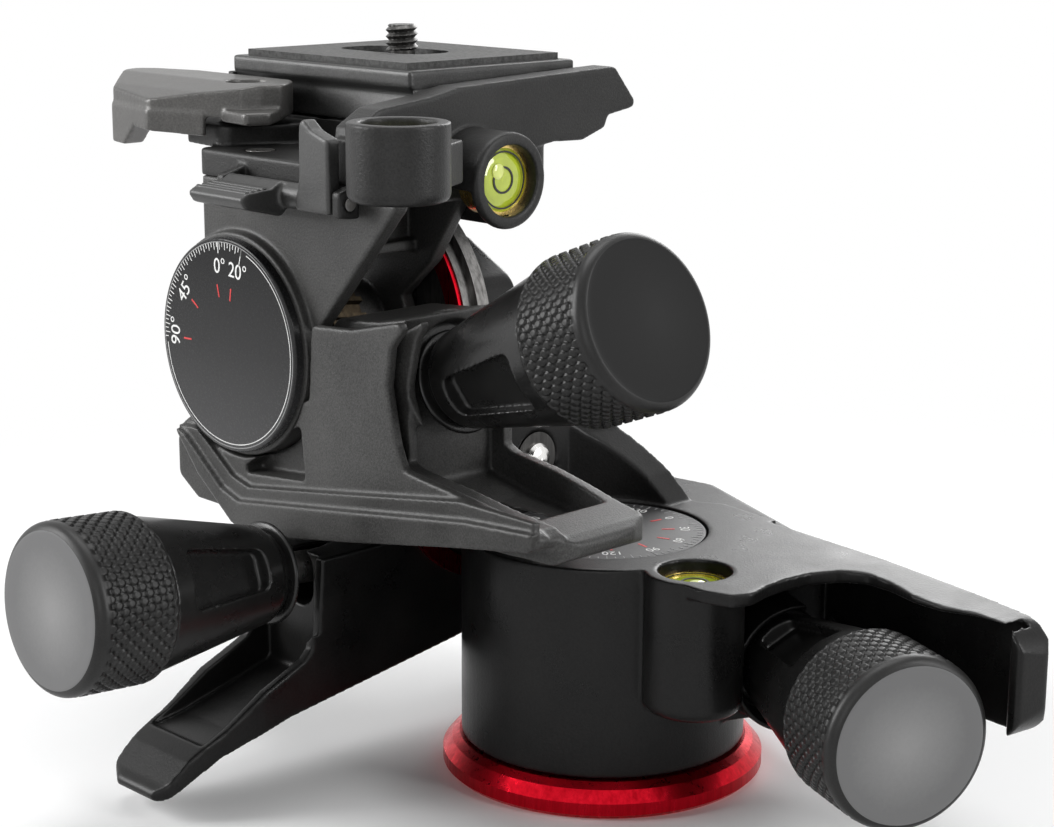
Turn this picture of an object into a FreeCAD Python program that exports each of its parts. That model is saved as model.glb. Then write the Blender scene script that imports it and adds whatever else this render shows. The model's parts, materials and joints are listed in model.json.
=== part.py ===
import FreeCAD, Part
import math
import os
from FreeCAD import Matrix, Vector

# Geared tripod head: a pan stage on a round base, a lateral tilt stage on its side and a
# front tilt stage on top, each driven by a worm on a sprung carrier with a cone knob.
# Frame: Z up through the pan axis, origin at the bottom centre of the base disc,
# X along the lateral tilt axis, Y along the front tilt axis. Millimetres.

# ---------------------------------------------------------------- driving dimensions
# Base and pan stage
BASE_RADIUS = 30.0
BASE_HEIGHT = 6.0
BASE_EDGE = 1.6              # rounding of the disc's upper rim
DRUM_RADIUS = 26.5
DRUM_TOP = 45.0
COLUMN_RADIUS = 9.0
PAN_BUSH_WALL = 2.0
INSERT_RADIUS = 6.6          # steel insert in the base
INSERT_LENGTH = 12.0
BASE_THREAD_RADIUS = 4.7625  # 3/8 inch tripod thread
PAN_DIAL_RADIUS = 18.7
PAN_DIAL_THICKNESS = 1.2
PAN_WORM_HEIGHT = 24.8

# Tilt axes
LATERAL_AXIS_HEIGHT = 55.0
FRONT_AXIS_X = -55.6
FRONT_AXIS_HEIGHT = 77.2
LATERAL_DRUM_RADIUS = 25.4
LATERAL_DRUM_FRONT = -28.4   # x of the drum hub beside the pan stage
LATERAL_SIDE = -29.6         # x of the arm's and the drum rim's side beside the pan stage
LATERAL_DRUM_BACK = -50.0
LATERAL_AXLE_RADIUS = 5.0
FRONT_AXLE_RADIUS = 5.0
UPRIGHT_HUB_RADIUS = 12.5
UPRIGHT_FACE = -26.0         # x of the upright's face towards the lateral drum
UPRIGHT_THICKNESS = 8.0

# Worm drives, shared by the three stages
MODULE = 1.0
ADDENDUM = 0.5
WORM_PITCH_RADIUS = 4.0
WORM_ROOT_RADIUS = 3.3
WORM_LENGTH = 13.0
WORM_SHAFT_RADIUS = 3.0
THREAD_WIDTH = 0.9
TOOTH_WIDTH = 1.1
WHEEL_WIDTH = 7.0
PAN_TEETH = 40
LATERAL_TEETH = 32
FRONT_TEETH = 28
BEARING_INNER = 11.0         # distance of a worm bearing from the wheel plane
BEARING_LENGTH = 5.0
BUSH_WALL = 1.6
CARRIER_HALF_WIDTH = 6.0
CARRIER_PLATE_GAP = 5.0      # from the worm axis to the carrier's back plate
CARRIER_PLATE = 2.0
PIVOT_DISTANCE = 30.0
FRONT_PIVOT_DISTANCE = 26.8
PIVOT_PIN_RADIUS = 2.0
PIVOT_EYE_RADIUS = 5.0
PIVOT_BOSS_RADIUS = 7.6
RELEASE_LIFT = 1.8           # worm chamber room behind the carrier for its release swing
SPRING_WIRE = 0.45
SPRING_RADIUS = PIVOT_PIN_RADIUS + SPRING_WIRE
UNIT_HALF_WIDTH = 11.5       # half the width of a worm housing
BOSS_HALF_WIDTH = 8.4        # half the width of a pivot boss
CHAMBER_HALF_WIDTH = 6.6

# Knobs
KNOB_RADIUS = 15.2
KNOB_LENGTH = 44.0
FRONT_KNOB_LENGTH = 47.0      # the front knob stands off its longer collar
KNOB_ROOT_RADIUS = 9.1
KNOB_NECK_RADIUS = 7.6
KNOB_NECK_LENGTH = 2.6
GRIP_LENGTH = 16.3
GRIP_WALL = 2.0
KNOB_RIM_ROUND = 2.4
PAN_KNOB_FACE = 70.6         # knob face from the wheel plane, along the worm
LATERAL_KNOB_FACE = 94.3
FRONT_KNOB_FACE = 88.1
PAN_KNOB_TURN = 23.0         # degrees from X towards -Y
LATERAL_KNOB_RISE = 4.0      # degrees above level
FRONT_KNOB_RISE = 21.1

# Lateral and front tilt planes
LATERAL_WORM_X = -38.0
FRONT_WORM_Y = -24.8
FRONT_PLATE_Y = -42.0        # outer face of the front walls
FRONT_WALL = 4.5
REAR_WALL_Y = -9.0
REAR_WALL = 3.0
RING_PLATE_Y = -8.0
RING_PLATE = 5.0
RING_PLATE_RADIUS = 28.4
FRICTION_RING_RADIUS = 26.4
FRONT_DIAL_RADIUS = 20.1
FRONT_DIAL_THICKNESS = 1.6
ROTOR_HUB_RADIUS = 21.0
ROTOR_TUBE_RADIUS = 9.0
ROTOR_WALL_Y = -39.6         # outer face of the bracket's front wall, behind the casting's skin

# Levels
LEVEL_RADIUS = 8.8
LEVEL_BORE = 6.5
LEVEL_VIAL_HEIGHT = 5.0
LEVEL_RECESS = 2.2           # from the cup rim down to the vial
LEVEL_RING_WALL = 0.7
PAN_LEVEL_X = 28.9
PAN_LEVEL_Y = -7.5
SIDE_LEVEL_X, SIDE_LEVEL_Y, SIDE_LEVEL_Z = -14.4, -10.2, 108.8

# Clamp and plate
PLATE_X = -58.9
PLATE_Y = 3.0
PLATE_TOP = 127.7
PLATE_LENGTH = 52.5
PLATE_WIDTH = 42.5
PLATE_HEIGHT = 10.1
PAD_THICKNESS = 1.2
PAD_LENGTH = 47.0
PAD_WIDTH = 39.0
CLAMP_FLOOR = 107.5
CLAMP_FLOOR_THICKNESS = 5.0
CAMERA_THREAD_RADIUS = 3.175
CAMERA_SCREW_NECK = 2.6      # radius of the screw where it turns in the plate
CAMERA_SCREW_RISE = 6.3

# Fits
RUNNING = 0.03
LOOSE = 0.3
ROOM = 0.5

os.makedirs("parts", exist_ok=True)

X_AXIS = Vector(1, 0, 0)
Y_AXIS = Vector(0, 1, 0)
Z_AXIS = Vector(0, 0, 1)


# ---------------------------------------------------------------- shape helpers
def save(name, shape):
    shape.exportStep(f"parts/{name}.step")


def box(x0, x1, y0, y1, z0, z1):
    return Part.makeBox(x1 - x0, y1 - y0, z1 - z0, Vector(x0, y0, z0))


def rod(radius, start, end):
    """Cylinder from one point to another."""
    return Part.makeCylinder(radius, start.distanceToPoint(end), start, end - start)


def sleeve(outer, inner, start, end):
    return rod(outer, start, end).cut(rod(inner, start, end))


def join(*shapes):
    solid = shapes[0].multiFuse(list(shapes[1:]))
    return solid.removeSplitter()


LIFTS = {
    "xy": (lambda a, b, c: Vector(a, b, c), Z_AXIS),
    "xz": (lambda a, b, c: Vector(a, c, b), Y_AXIS),
    "yz": (lambda a, b, c: Vector(c, a, b), X_AXIS),
}


def corner(before, point, after, radius):
    """Tangent points and middle of the arc that rounds one corner of an outline."""
    to_before, to_after = before - point, after - point
    room = 0.49 * min(to_before.Length, to_after.Length)
    to_before.normalize()
    to_after.normalize()
    half = to_before.getAngle(to_after) / 2
    reach = min(radius / math.tan(half), room)
    radius = reach * math.tan(half)
    middle = to_before + to_after
    middle.normalize()
    arc_middle = point + middle * (radius / math.sin(half) - radius)
    return point + to_before * reach, arc_middle, point + to_after * reach


def slab(plane, points, low, high, radius=0.0):
    """Outline with rounded corners in a plane, extruded from low to high across it."""
    lift, normal = LIFTS[plane]
    flat = [lift(a, b, low) for a, b in points]
    count = len(flat)
    if radius == 0:
        wire = Part.makePolygon(flat + [flat[0]])
    else:
        corners = [corner(flat[i - 1], flat[i], flat[(i + 1) % count], radius) for i in range(count)]
        edges = []
        for index, (start, middle, end) in enumerate(corners):
            edges.append(Part.Arc(start, middle, end).toShape())
            following = corners[(index + 1) % count][0]
            if end.distanceToPoint(following) > 1e-6:
                edges.append(Part.makeLine(end, following))
        wire = Part.Wire(edges)
    return Part.Face(wire).extrude(normal * (high - low))


def soften(shape, radius, keep):
    """Round the edges that the test keeps; leave the shape as it is if none can be rounded."""
    edges = [edge for edge in shape.Edges if keep(edge)]
    return shape.makeFillet(radius, edges) if edges else shape


def turned(profile, start, axis):
    """Solid of revolution from (distance along axis, radius) points."""
    points = [Vector(r, 0, s) for s, r in profile]
    face = Part.Face(Part.makePolygon(points + [points[0]]))
    solid = face.revolve(Vector(0, 0, 0), Z_AXIS, 360)
    solid.Placement = FreeCAD.Placement(start, FreeCAD.Rotation(Z_AXIS, axis))
    return solid


def frame(origin, along, toward):
    across = along.cross(toward)
    return Matrix(along.x, toward.x, across.x, origin.x,
                  along.y, toward.y, across.y, origin.y,
                  along.z, toward.z, across.z, origin.z,
                  0, 0, 0, 1)


def put(shape, matrix):
    """Move a shape from a drive's own frame into the head's frame."""
    moved = shape.copy()
    moved.transformShape(matrix, True)
    return moved


# ---------------------------------------------------------------- drive frames
# In a drive's own frame X runs out along the worm to the knob, Y from the wheel axis to the
# worm and on to the squeeze fin, and Z is the wheel axis.
def radians(angle):
    return math.radians(angle)


PAN_ALONG = Vector(math.cos(radians(PAN_KNOB_TURN)), -math.sin(radians(PAN_KNOB_TURN)), 0)
PAN_TOWARD = Vector(math.sin(radians(PAN_KNOB_TURN)), math.cos(radians(PAN_KNOB_TURN)), 0)
LATERAL_ALONG = Vector(0, -math.cos(radians(LATERAL_KNOB_RISE)), math.sin(radians(LATERAL_KNOB_RISE)))
LATERAL_TOWARD = Vector(0, -math.sin(radians(LATERAL_KNOB_RISE)), -math.cos(radians(LATERAL_KNOB_RISE)))
FRONT_ALONG = Vector(math.cos(radians(FRONT_KNOB_RISE)), 0, math.sin(radians(FRONT_KNOB_RISE)))
FRONT_TOWARD = Vector(math.sin(radians(FRONT_KNOB_RISE)), 0, -math.cos(radians(FRONT_KNOB_RISE)))

PAN_FRAME = frame(Vector(0, 0, PAN_WORM_HEIGHT), PAN_ALONG, PAN_TOWARD)
LATERAL_FRAME = frame(Vector(LATERAL_WORM_X, 0, LATERAL_AXIS_HEIGHT), LATERAL_ALONG, LATERAL_TOWARD)
FRONT_FRAME = frame(Vector(FRONT_AXIS_X, FRONT_WORM_Y, FRONT_AXIS_HEIGHT), FRONT_ALONG, FRONT_TOWARD)


def worm_distance(teeth):
    return WORM_PITCH_RADIUS + MODULE * teeth / 2


def pivot_distance(teeth):
    """How far behind the wheel's plane a drive's carrier is hinged."""
    return FRONT_PIVOT_DISTANCE if teeth == FRONT_TEETH else PIVOT_DISTANCE


def tip_radius(teeth):
    return MODULE * teeth / 2 + ADDENDUM


# ---------------------------------------------------------------- drive pieces
THREAD_PITCH = math.pi * MODULE
LEAD_SLOPE = THREAD_PITCH / (2 * math.pi * WORM_PITCH_RADIUS)
WORM_TIP_RADIUS = WORM_PITCH_RADIUS + ADDENDUM
WHEEL_ROOT_GAP = 0.3


def wheel(teeth, bore, first=None, last=None):
    """Wheel with leaning teeth; a sector keeps the teeth between two angles from the worm."""
    root = teeth * MODULE / 2 - ADDENDUM - WHEEL_ROOT_GAP
    tip = tip_radius(teeth)
    half = WHEEL_WIDTH / 2
    blank = Part.makeCylinder(root, WHEEL_WIDTH, Vector(0, 0, -half))
    lean = Vector(LEAD_SLOPE * WHEEL_WIDTH, 0, 0)
    tooth_points = [Vector(-TOOTH_WIDTH * 0.62, root - 0.4, -half), Vector(TOOTH_WIDTH * 0.62, root - 0.4, -half),
                    Vector(TOOTH_WIDTH * 0.4, tip, -half), Vector(-TOOTH_WIDTH * 0.4, tip, -half)]
    shift = lean * 0.5
    face = Part.Face(Part.makePolygon([p + shift for p in tooth_points] + [tooth_points[0] + shift]))
    tooth = face.extrude(Vector(0, 0, WHEEL_WIDTH) - lean)
    if first is not None:
        reach = 2 * tip
        keep_points = [Vector(0, 0, -half)]
        for step in range(5):
            angle = radians(90 + first + (last - first) * step / 4)
            keep_points.append(Vector(reach * math.cos(angle), reach * math.sin(angle), -half))
        keep = Part.Face(Part.makePolygon(keep_points + [keep_points[0]])).extrude(Vector(0, 0, WHEEL_WIDTH))
        hub = Part.makeCylinder(SECTOR_HUB_RADIUS, WHEEL_WIDTH, Vector(0, 0, -half))
        blank = blank.common(keep).fuse(hub)
    teeth_made = []
    for index in range(teeth):
        angle = 360.0 * index / teeth
        signed = angle if angle <= 180 else angle - 360
        if first is None or first + 3 <= signed <= last - 3:
            made = tooth.copy()
            made.rotate(Vector(0, 0, 0), Z_AXIS, angle)
            teeth_made.append(made)
    solid = blank.multiFuse(teeth_made)
    return solid.cut(Part.makeCylinder(bore, WHEEL_WIDTH * 2, Vector(0, 0, -WHEEL_WIDTH)))


SECTOR_HUB_RADIUS = 9.0


def worm_shaft(teeth, knob_face, knob_length):
    """Worm with its shaft, from behind the inner bearing to inside the knob."""
    centre = worm_distance(teeth)
    inner_end = -BEARING_INNER - BEARING_LENGTH - 1.0
    outer_end = knob_face - knob_length / 3
    core = [(inner_end, 0), (inner_end, WORM_SHAFT_RADIUS),
            (-BEARING_INNER + LOOSE, WORM_SHAFT_RADIUS), (-BEARING_INNER + LOOSE, WORM_ROOT_RADIUS),
            (BEARING_INNER - LOOSE, WORM_ROOT_RADIUS), (BEARING_INNER - LOOSE, WORM_SHAFT_RADIUS),
            (outer_end, WORM_SHAFT_RADIUS), (outer_end, 0)]
    shaft = turned(core, Vector(0, centre, 0), X_AXIS)
    helix = Part.makeHelix(THREAD_PITCH, WORM_LENGTH, WORM_ROOT_RADIUS)
    half_root, half_tip = THREAD_WIDTH * 0.62, THREAD_WIDTH * 0.38
    inner = WORM_ROOT_RADIUS - 0.25
    profile = Part.makePolygon([Vector(inner, 0, -half_root), Vector(WORM_TIP_RADIUS, 0, -half_tip),
                                Vector(WORM_TIP_RADIUS, 0, half_tip), Vector(inner, 0, half_root),
                                Vector(inner, 0, -half_root)])
    thread = Part.Wire(helix.Edges).makePipeShell([profile], True, True)
    # The helix starts half a worm length before the wheel plane. It is turned so that the
    # ridges straddle the wheel tooth that points at the worm.
    start_turns = (WORM_LENGTH / 2) / THREAD_PITCH
    ridge_angle = 360 * (start_turns + 0.5)
    thread.rotate(Vector(0, 0, 0), Z_AXIS, 180 - ridge_angle)
    thread.translate(Vector(0, 0, -WORM_LENGTH / 2))
    # Z of the thread becomes X of the drive, X of the thread becomes Y (away from the wheel)
    to_drive = Matrix(0, 0, 1, 0, 1, 0, 0, centre, 0, 1, 0, 0, 0, 0, 0, 1)
    thread.transformShape(to_drive, True)
    return shaft.fuse(thread)


def bearing_bushes(teeth):
    centre = worm_distance(teeth)
    bushes = []
    for side in (-1, 1):
        start = Vector(side * BEARING_INNER, centre, 0)
        end = Vector(side * (BEARING_INNER + BEARING_LENGTH), centre, 0)
        bushes.append(sleeve(WORM_SHAFT_RADIUS + BUSH_WALL, WORM_SHAFT_RADIUS + RUNNING, start, end))
    return Part.makeCompound(bushes)


def carrier(teeth):
    """Cradle that holds the worm and swings on the pivot pin, away from the wheel."""
    centre = worm_distance(teeth)
    pivot = pivot_distance(teeth)
    back = centre + CARRIER_PLATE_GAP + CARRIER_PLATE
    half = CARRIER_HALF_WIDTH
    outer = BEARING_INNER + BEARING_LENGTH
    bearing_half = WORM_SHAFT_RADIUS + BUSH_WALL + 1.2
    solids = [box(-outer, outer, back - CARRIER_PLATE, back, -half, half),
              box(-pivot, -outer, centre - 3.0, back, -half, half),
              rod(PIVOT_EYE_RADIUS, Vector(-pivot, centre, -half + SPRING_ROOM),
                  Vector(-pivot, centre, half))]
    for side in (-1, 1):
        low, high = sorted((side * BEARING_INNER, side * outer))
        solids.append(box(low, high, centre, back, -half, half))
        solids.append(rod(bearing_half, Vector(low, centre, 0), Vector(high, centre, 0)))
    solid = join(*solids)
    spring_space = rod(PIVOT_EYE_RADIUS, Vector(-pivot, centre, -half),
                       Vector(-pivot, centre, -half + SPRING_ROOM))
    pin_hole = rod(PIVOT_PIN_RADIUS + RUNNING, Vector(-pivot, centre, -half),
                   Vector(-pivot, centre, half))
    shaft_way = rod(WORM_SHAFT_RADIUS + BUSH_WALL, Vector(-outer - 1.4, centre, 0), Vector(outer, centre, 0))
    return solid.cut(spring_space).cut(pin_hole).cut(shaft_way)


SPRING_ROOM = 4.0


def pivot_pin(teeth):
    centre = worm_distance(teeth)
    pivot = pivot_distance(teeth)
    half = BOSS_HALF_WIDTH - 0.2
    return rod(PIVOT_PIN_RADIUS, Vector(-pivot, centre, -half), Vector(-pivot, centre, half))


def release_spring(teeth):
    """Torsion spring round the pivot pin, beside the carrier's eye."""
    centre = worm_distance(teeth)
    pivot = pivot_distance(teeth)
    pitch = 2.4 * SPRING_WIRE
    turns = 2.5
    helix = Part.makeHelix(pitch, pitch * turns, SPRING_RADIUS)
    section = Part.Wire(Part.makeCircle(SPRING_WIRE, Vector(SPRING_RADIUS, 0, 0), Y_AXIS))
    coil = Part.Wire(helix.Edges).makePipeShell([section], True, True)
    coil.translate(Vector(-pivot, centre, -CARRIER_HALF_WIDTH + SPRING_WIRE))
    return coil


def knob_cone(teeth, face, length, first_pocket):
    """Cone of a knob with its neck and three long pockets, the first at an angle round the knob."""
    centre = worm_distance(teeth)
    root = face - length
    grip_start = face - GRIP_LENGTH
    inside = KNOB_RADIUS - GRIP_WALL
    profile = [(root - KNOB_NECK_LENGTH, WORM_SHAFT_RADIUS), (root - KNOB_NECK_LENGTH, KNOB_NECK_RADIUS),
               (root, KNOB_NECK_RADIUS), (root, KNOB_ROOT_RADIUS - 0.6), (root + 0.6, KNOB_ROOT_RADIUS),
               (grip_start, KNOB_RADIUS - 0.9), (grip_start, inside), (face - GRIP_WALL, inside),
               (face - GRIP_WALL, 0), (face - length / 3 + LOOSE, 0),
               (face - length / 3 + LOOSE, WORM_SHAFT_RADIUS)]
    solid = turned(profile, Vector(0, centre, 0), X_AXIS)
    slope = math.atan2(KNOB_RADIUS - 0.9 - KNOB_ROOT_RADIUS, grip_start - root)
    for index in range(3):
        wide, narrow, depth = 5.4, 3.6, 3.0
        start, end = root + 5.0, grip_start - 4.0
        pocket = slab("xy", [(start, -narrow), (end, -wide), (end, wide), (start, narrow)], 0, 9.0, 1.6)
        surface = KNOB_ROOT_RADIUS + (start - root) * math.tan(slope)
        pocket.rotate(Vector(start, 0, 0), Y_AXIS, -math.degrees(slope))
        pocket.translate(Vector(0, 0, surface - depth))
        pocket.rotate(Vector(0, 0, 0), X_AXIS, first_pocket + 120 * index)
        pocket.translate(Vector(0, centre, 0))
        solid = solid.cut(pocket)
    return solid


def knob_grip(teeth, face):
    """Rubber cap of a knob: the gripping band and the face in one piece."""
    centre = worm_distance(teeth)
    start = face - GRIP_LENGTH
    cap = rod(KNOB_RADIUS, Vector(start, centre, 0), Vector(face, centre, 0))
    cap = soften(cap, KNOB_RIM_ROUND, lambda e: abs(e.BoundBox.XMin - face) < 1e-4 and abs(e.BoundBox.XMax - face) < 1e-4)
    hollow = rod(KNOB_RADIUS - GRIP_WALL, Vector(start, centre, 0), Vector(face - GRIP_WALL, centre, 0))
    return cap.cut(hollow)


def chamber(teeth, mouth):
    """Room inside a housing for the carrier, its release swing and the shaft."""
    centre = worm_distance(teeth)
    pivot = pivot_distance(teeth)
    half = CHAMBER_HALF_WIDTH
    back = centre + CARRIER_PLATE_GAP + CARRIER_PLATE + RELEASE_LIFT
    outer = BEARING_INNER + BEARING_LENGTH + 2.4
    wheel_side = centre - CARRIER_HALF_WIDTH - 0.8
    eye = PIVOT_EYE_RADIUS + 0.6
    pivot_start = Vector(-pivot, centre, -half)
    pivot_end = Vector(-pivot, centre, half)
    room = box(-pivot - ROOM, outer, wheel_side, back, -half, half)
    slot_half = WORM_SHAFT_RADIUS + 0.8
    swing = 0.045 * (mouth + pivot)
    slot = box(outer - 1, mouth, centre, centre + swing, -slot_half, slot_half)
    slot_ends = [rod(slot_half, Vector(outer - 1, centre + shift, 0), Vector(mouth, centre + shift, 0))
                 for shift in (0, swing)]
    # the room is narrower beside the pivot, where only the carrier's arm lies
    corner_cut = box(-pivot - eye, -BEARING_INNER - BEARING_LENGTH - 3, wheel_side - 1,
                     centre - eye, -half, half)
    return join(room.cut(corner_cut), rod(eye, pivot_start, pivot_end), slot, *slot_ends)


def drive(prefix, teeth, face, length, matrix, first_pocket):
    """Write the pieces of one worm drive that the three stages share."""
    save(f"{prefix}_carrier", put(carrier(teeth), matrix))
    save(f"{prefix}_worm_bushes", put(bearing_bushes(teeth), matrix))
    save(f"{prefix}_worm", put(worm_shaft(teeth, face, length), matrix))
    save(f"{prefix}_knob", put(knob_cone(teeth, face, length, first_pocket), matrix))
    save(f"{prefix}_knob_grip", put(knob_grip(teeth, face), matrix))
    save(f"{prefix}_pivot_pin", put(pivot_pin(teeth), matrix))
    save(f"{prefix}_release_spring", put(release_spring(teeth), matrix))


drive("pan", PAN_TEETH, PAN_KNOB_FACE, KNOB_LENGTH, PAN_FRAME, 30)
drive("lateral", LATERAL_TEETH, LATERAL_KNOB_FACE, KNOB_LENGTH, LATERAL_FRAME, 23)
drive("front", FRONT_TEETH, FRONT_KNOB_FACE, FRONT_KNOB_LENGTH, FRONT_FRAME, 80)
save("front_wheel", put(wheel(FRONT_TEETH, ROTOR_TUBE_RADIUS), FRONT_FRAME))
save("lateral_wheel", put(wheel(LATERAL_TEETH, LATERAL_AXLE_RADIUS, -106, 38), LATERAL_FRAME))
save("pan_wheel", put(wheel(PAN_TEETH, COLUMN_RADIUS), PAN_FRAME))


# ---------------------------------------------------------------- base and pan column
BASE_SCREW_CIRCLE = 12.8
BASE_SCREW_RADIUS = 1.25
FLANGE_RADIUS = 16.0
FLANGE_THICKNESS = 2.2
COLUMN_TOP = 43.4
NUT_RADIUS = 13.0
NUT_THICKNESS = 2.2
HOUSING_FLOOR = BASE_HEIGHT + LOOSE
ORIGIN = Vector(0, 0, 0)


def up(radius, low, high, x=0.0, y=0.0):
    """Upright cylinder between two heights."""
    return Part.makeCylinder(radius, high - low, Vector(x, y, low))


def around(shape, count, start=0.0):
    """Copies of a shape spaced evenly round the pan axis."""
    copies = []
    for index in range(count):
        made = shape.copy()
        made.rotate(ORIGIN, Z_AXIS, start + 360.0 * index / count)
        copies.append(made)
    return copies


base_profile = [(0, 0), (0, BASE_RADIUS - 0.8), (0.8, BASE_RADIUS), (BASE_HEIGHT / 2, BASE_RADIUS),
                (BASE_HEIGHT - 1.0, BASE_RADIUS - 1.7), (BASE_HEIGHT, DRUM_RADIUS + 0.4), (BASE_HEIGHT, 0)]
base_disc = turned(base_profile, ORIGIN, Z_AXIS).cut(up(INSERT_RADIUS, 0, BASE_HEIGHT))
base_screw = join(up(BASE_SCREW_RADIUS, 0.6, FLANGE_THICKNESS + BASE_HEIGHT - 0.6, BASE_SCREW_CIRCLE),
                  up(BASE_SCREW_RADIUS * 1.9, 0.6, 2.6, BASE_SCREW_CIRCLE))
screw_way = join(up(BASE_SCREW_RADIUS, 0, FLANGE_THICKNESS + BASE_HEIGHT - 0.6, BASE_SCREW_CIRCLE),
                 up(BASE_SCREW_RADIUS * 1.9, 0, 2.6, BASE_SCREW_CIRCLE))
screw_ways = Part.makeCompound(around(screw_way, 3, 30))
save("base_disc", base_disc.cut(screw_ways))
save("base_screws", Part.makeCompound(around(base_screw, 3, 30)))
save("tripod_thread_insert", sleeve(INSERT_RADIUS, BASE_THREAD_RADIUS, ORIGIN, Vector(0, 0, INSERT_LENGTH)))

column = join(up(COLUMN_RADIUS, BASE_HEIGHT, COLUMN_TOP), up(FLANGE_RADIUS, BASE_HEIGHT, BASE_HEIGHT + FLANGE_THICKNESS))
column = column.cut(up(INSERT_RADIUS, BASE_HEIGHT, INSERT_LENGTH)).cut(screw_ways)
save("pan_column", column)
save("pan_retaining_nut", sleeve(NUT_RADIUS, COLUMN_RADIUS, Vector(0, 0, COLUMN_TOP - NUT_THICKNESS), Vector(0, 0, COLUMN_TOP)))
save("pan_dial", up(PAN_DIAL_RADIUS, COLUMN_TOP, COLUMN_TOP + PAN_DIAL_THICKNESS))

WHEEL_ROOM = 0.8
wheel_low = PAN_WORM_HEIGHT - WHEEL_WIDTH / 2 - WHEEL_ROOM
wheel_high = PAN_WORM_HEIGHT + WHEEL_WIDTH / 2 + WHEEL_ROOM
flange_top = BASE_HEIGHT + FLANGE_THICKNESS + LOOSE
nut_bottom = COLUMN_TOP - NUT_THICKNESS - LOOSE
bush_radius = COLUMN_RADIUS + PAN_BUSH_WALL
pan_bushes = [sleeve(bush_radius, COLUMN_RADIUS + RUNNING, Vector(0, 0, low), Vector(0, 0, high))
              for low, high in ((flange_top, wheel_low), (wheel_high, nut_bottom))]
save("pan_column_bushes", Part.makeCompound(pan_bushes))

# ---------------------------------------------------------------- pan housing
DECK_THICKNESS = 2.4
FIN_WALL = 2.2
FIN_BACK = 29.2              # from the pan axis to the back of the squeeze fin
FIN_TURN = 7.5               # degrees that the fin leans from X towards -Y
FIN_LOW = 22.8
FIN_TIP = 82.0
FIN_TIP_TOP = 42.6
FIN_TIP_ROUND = 6.5
SHROUD_RADIUS = 11.9
LEVEL_BOSS_LOW = 19.5
SHROUD_WALL = 2.2
UPRIGHT_INNER = 20.0
UPRIGHT_LIMIT = 18.0         # degrees above level that the upright's wall may reach, seen from its hub


def fin_point(along, back):
    """Point of the pan fin's outline, along the fin and back from the pan axis."""
    turn = radians(FIN_TURN)
    return (along * math.cos(turn) + back * math.sin(turn), -along * math.sin(turn) + back * math.cos(turn))


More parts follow.
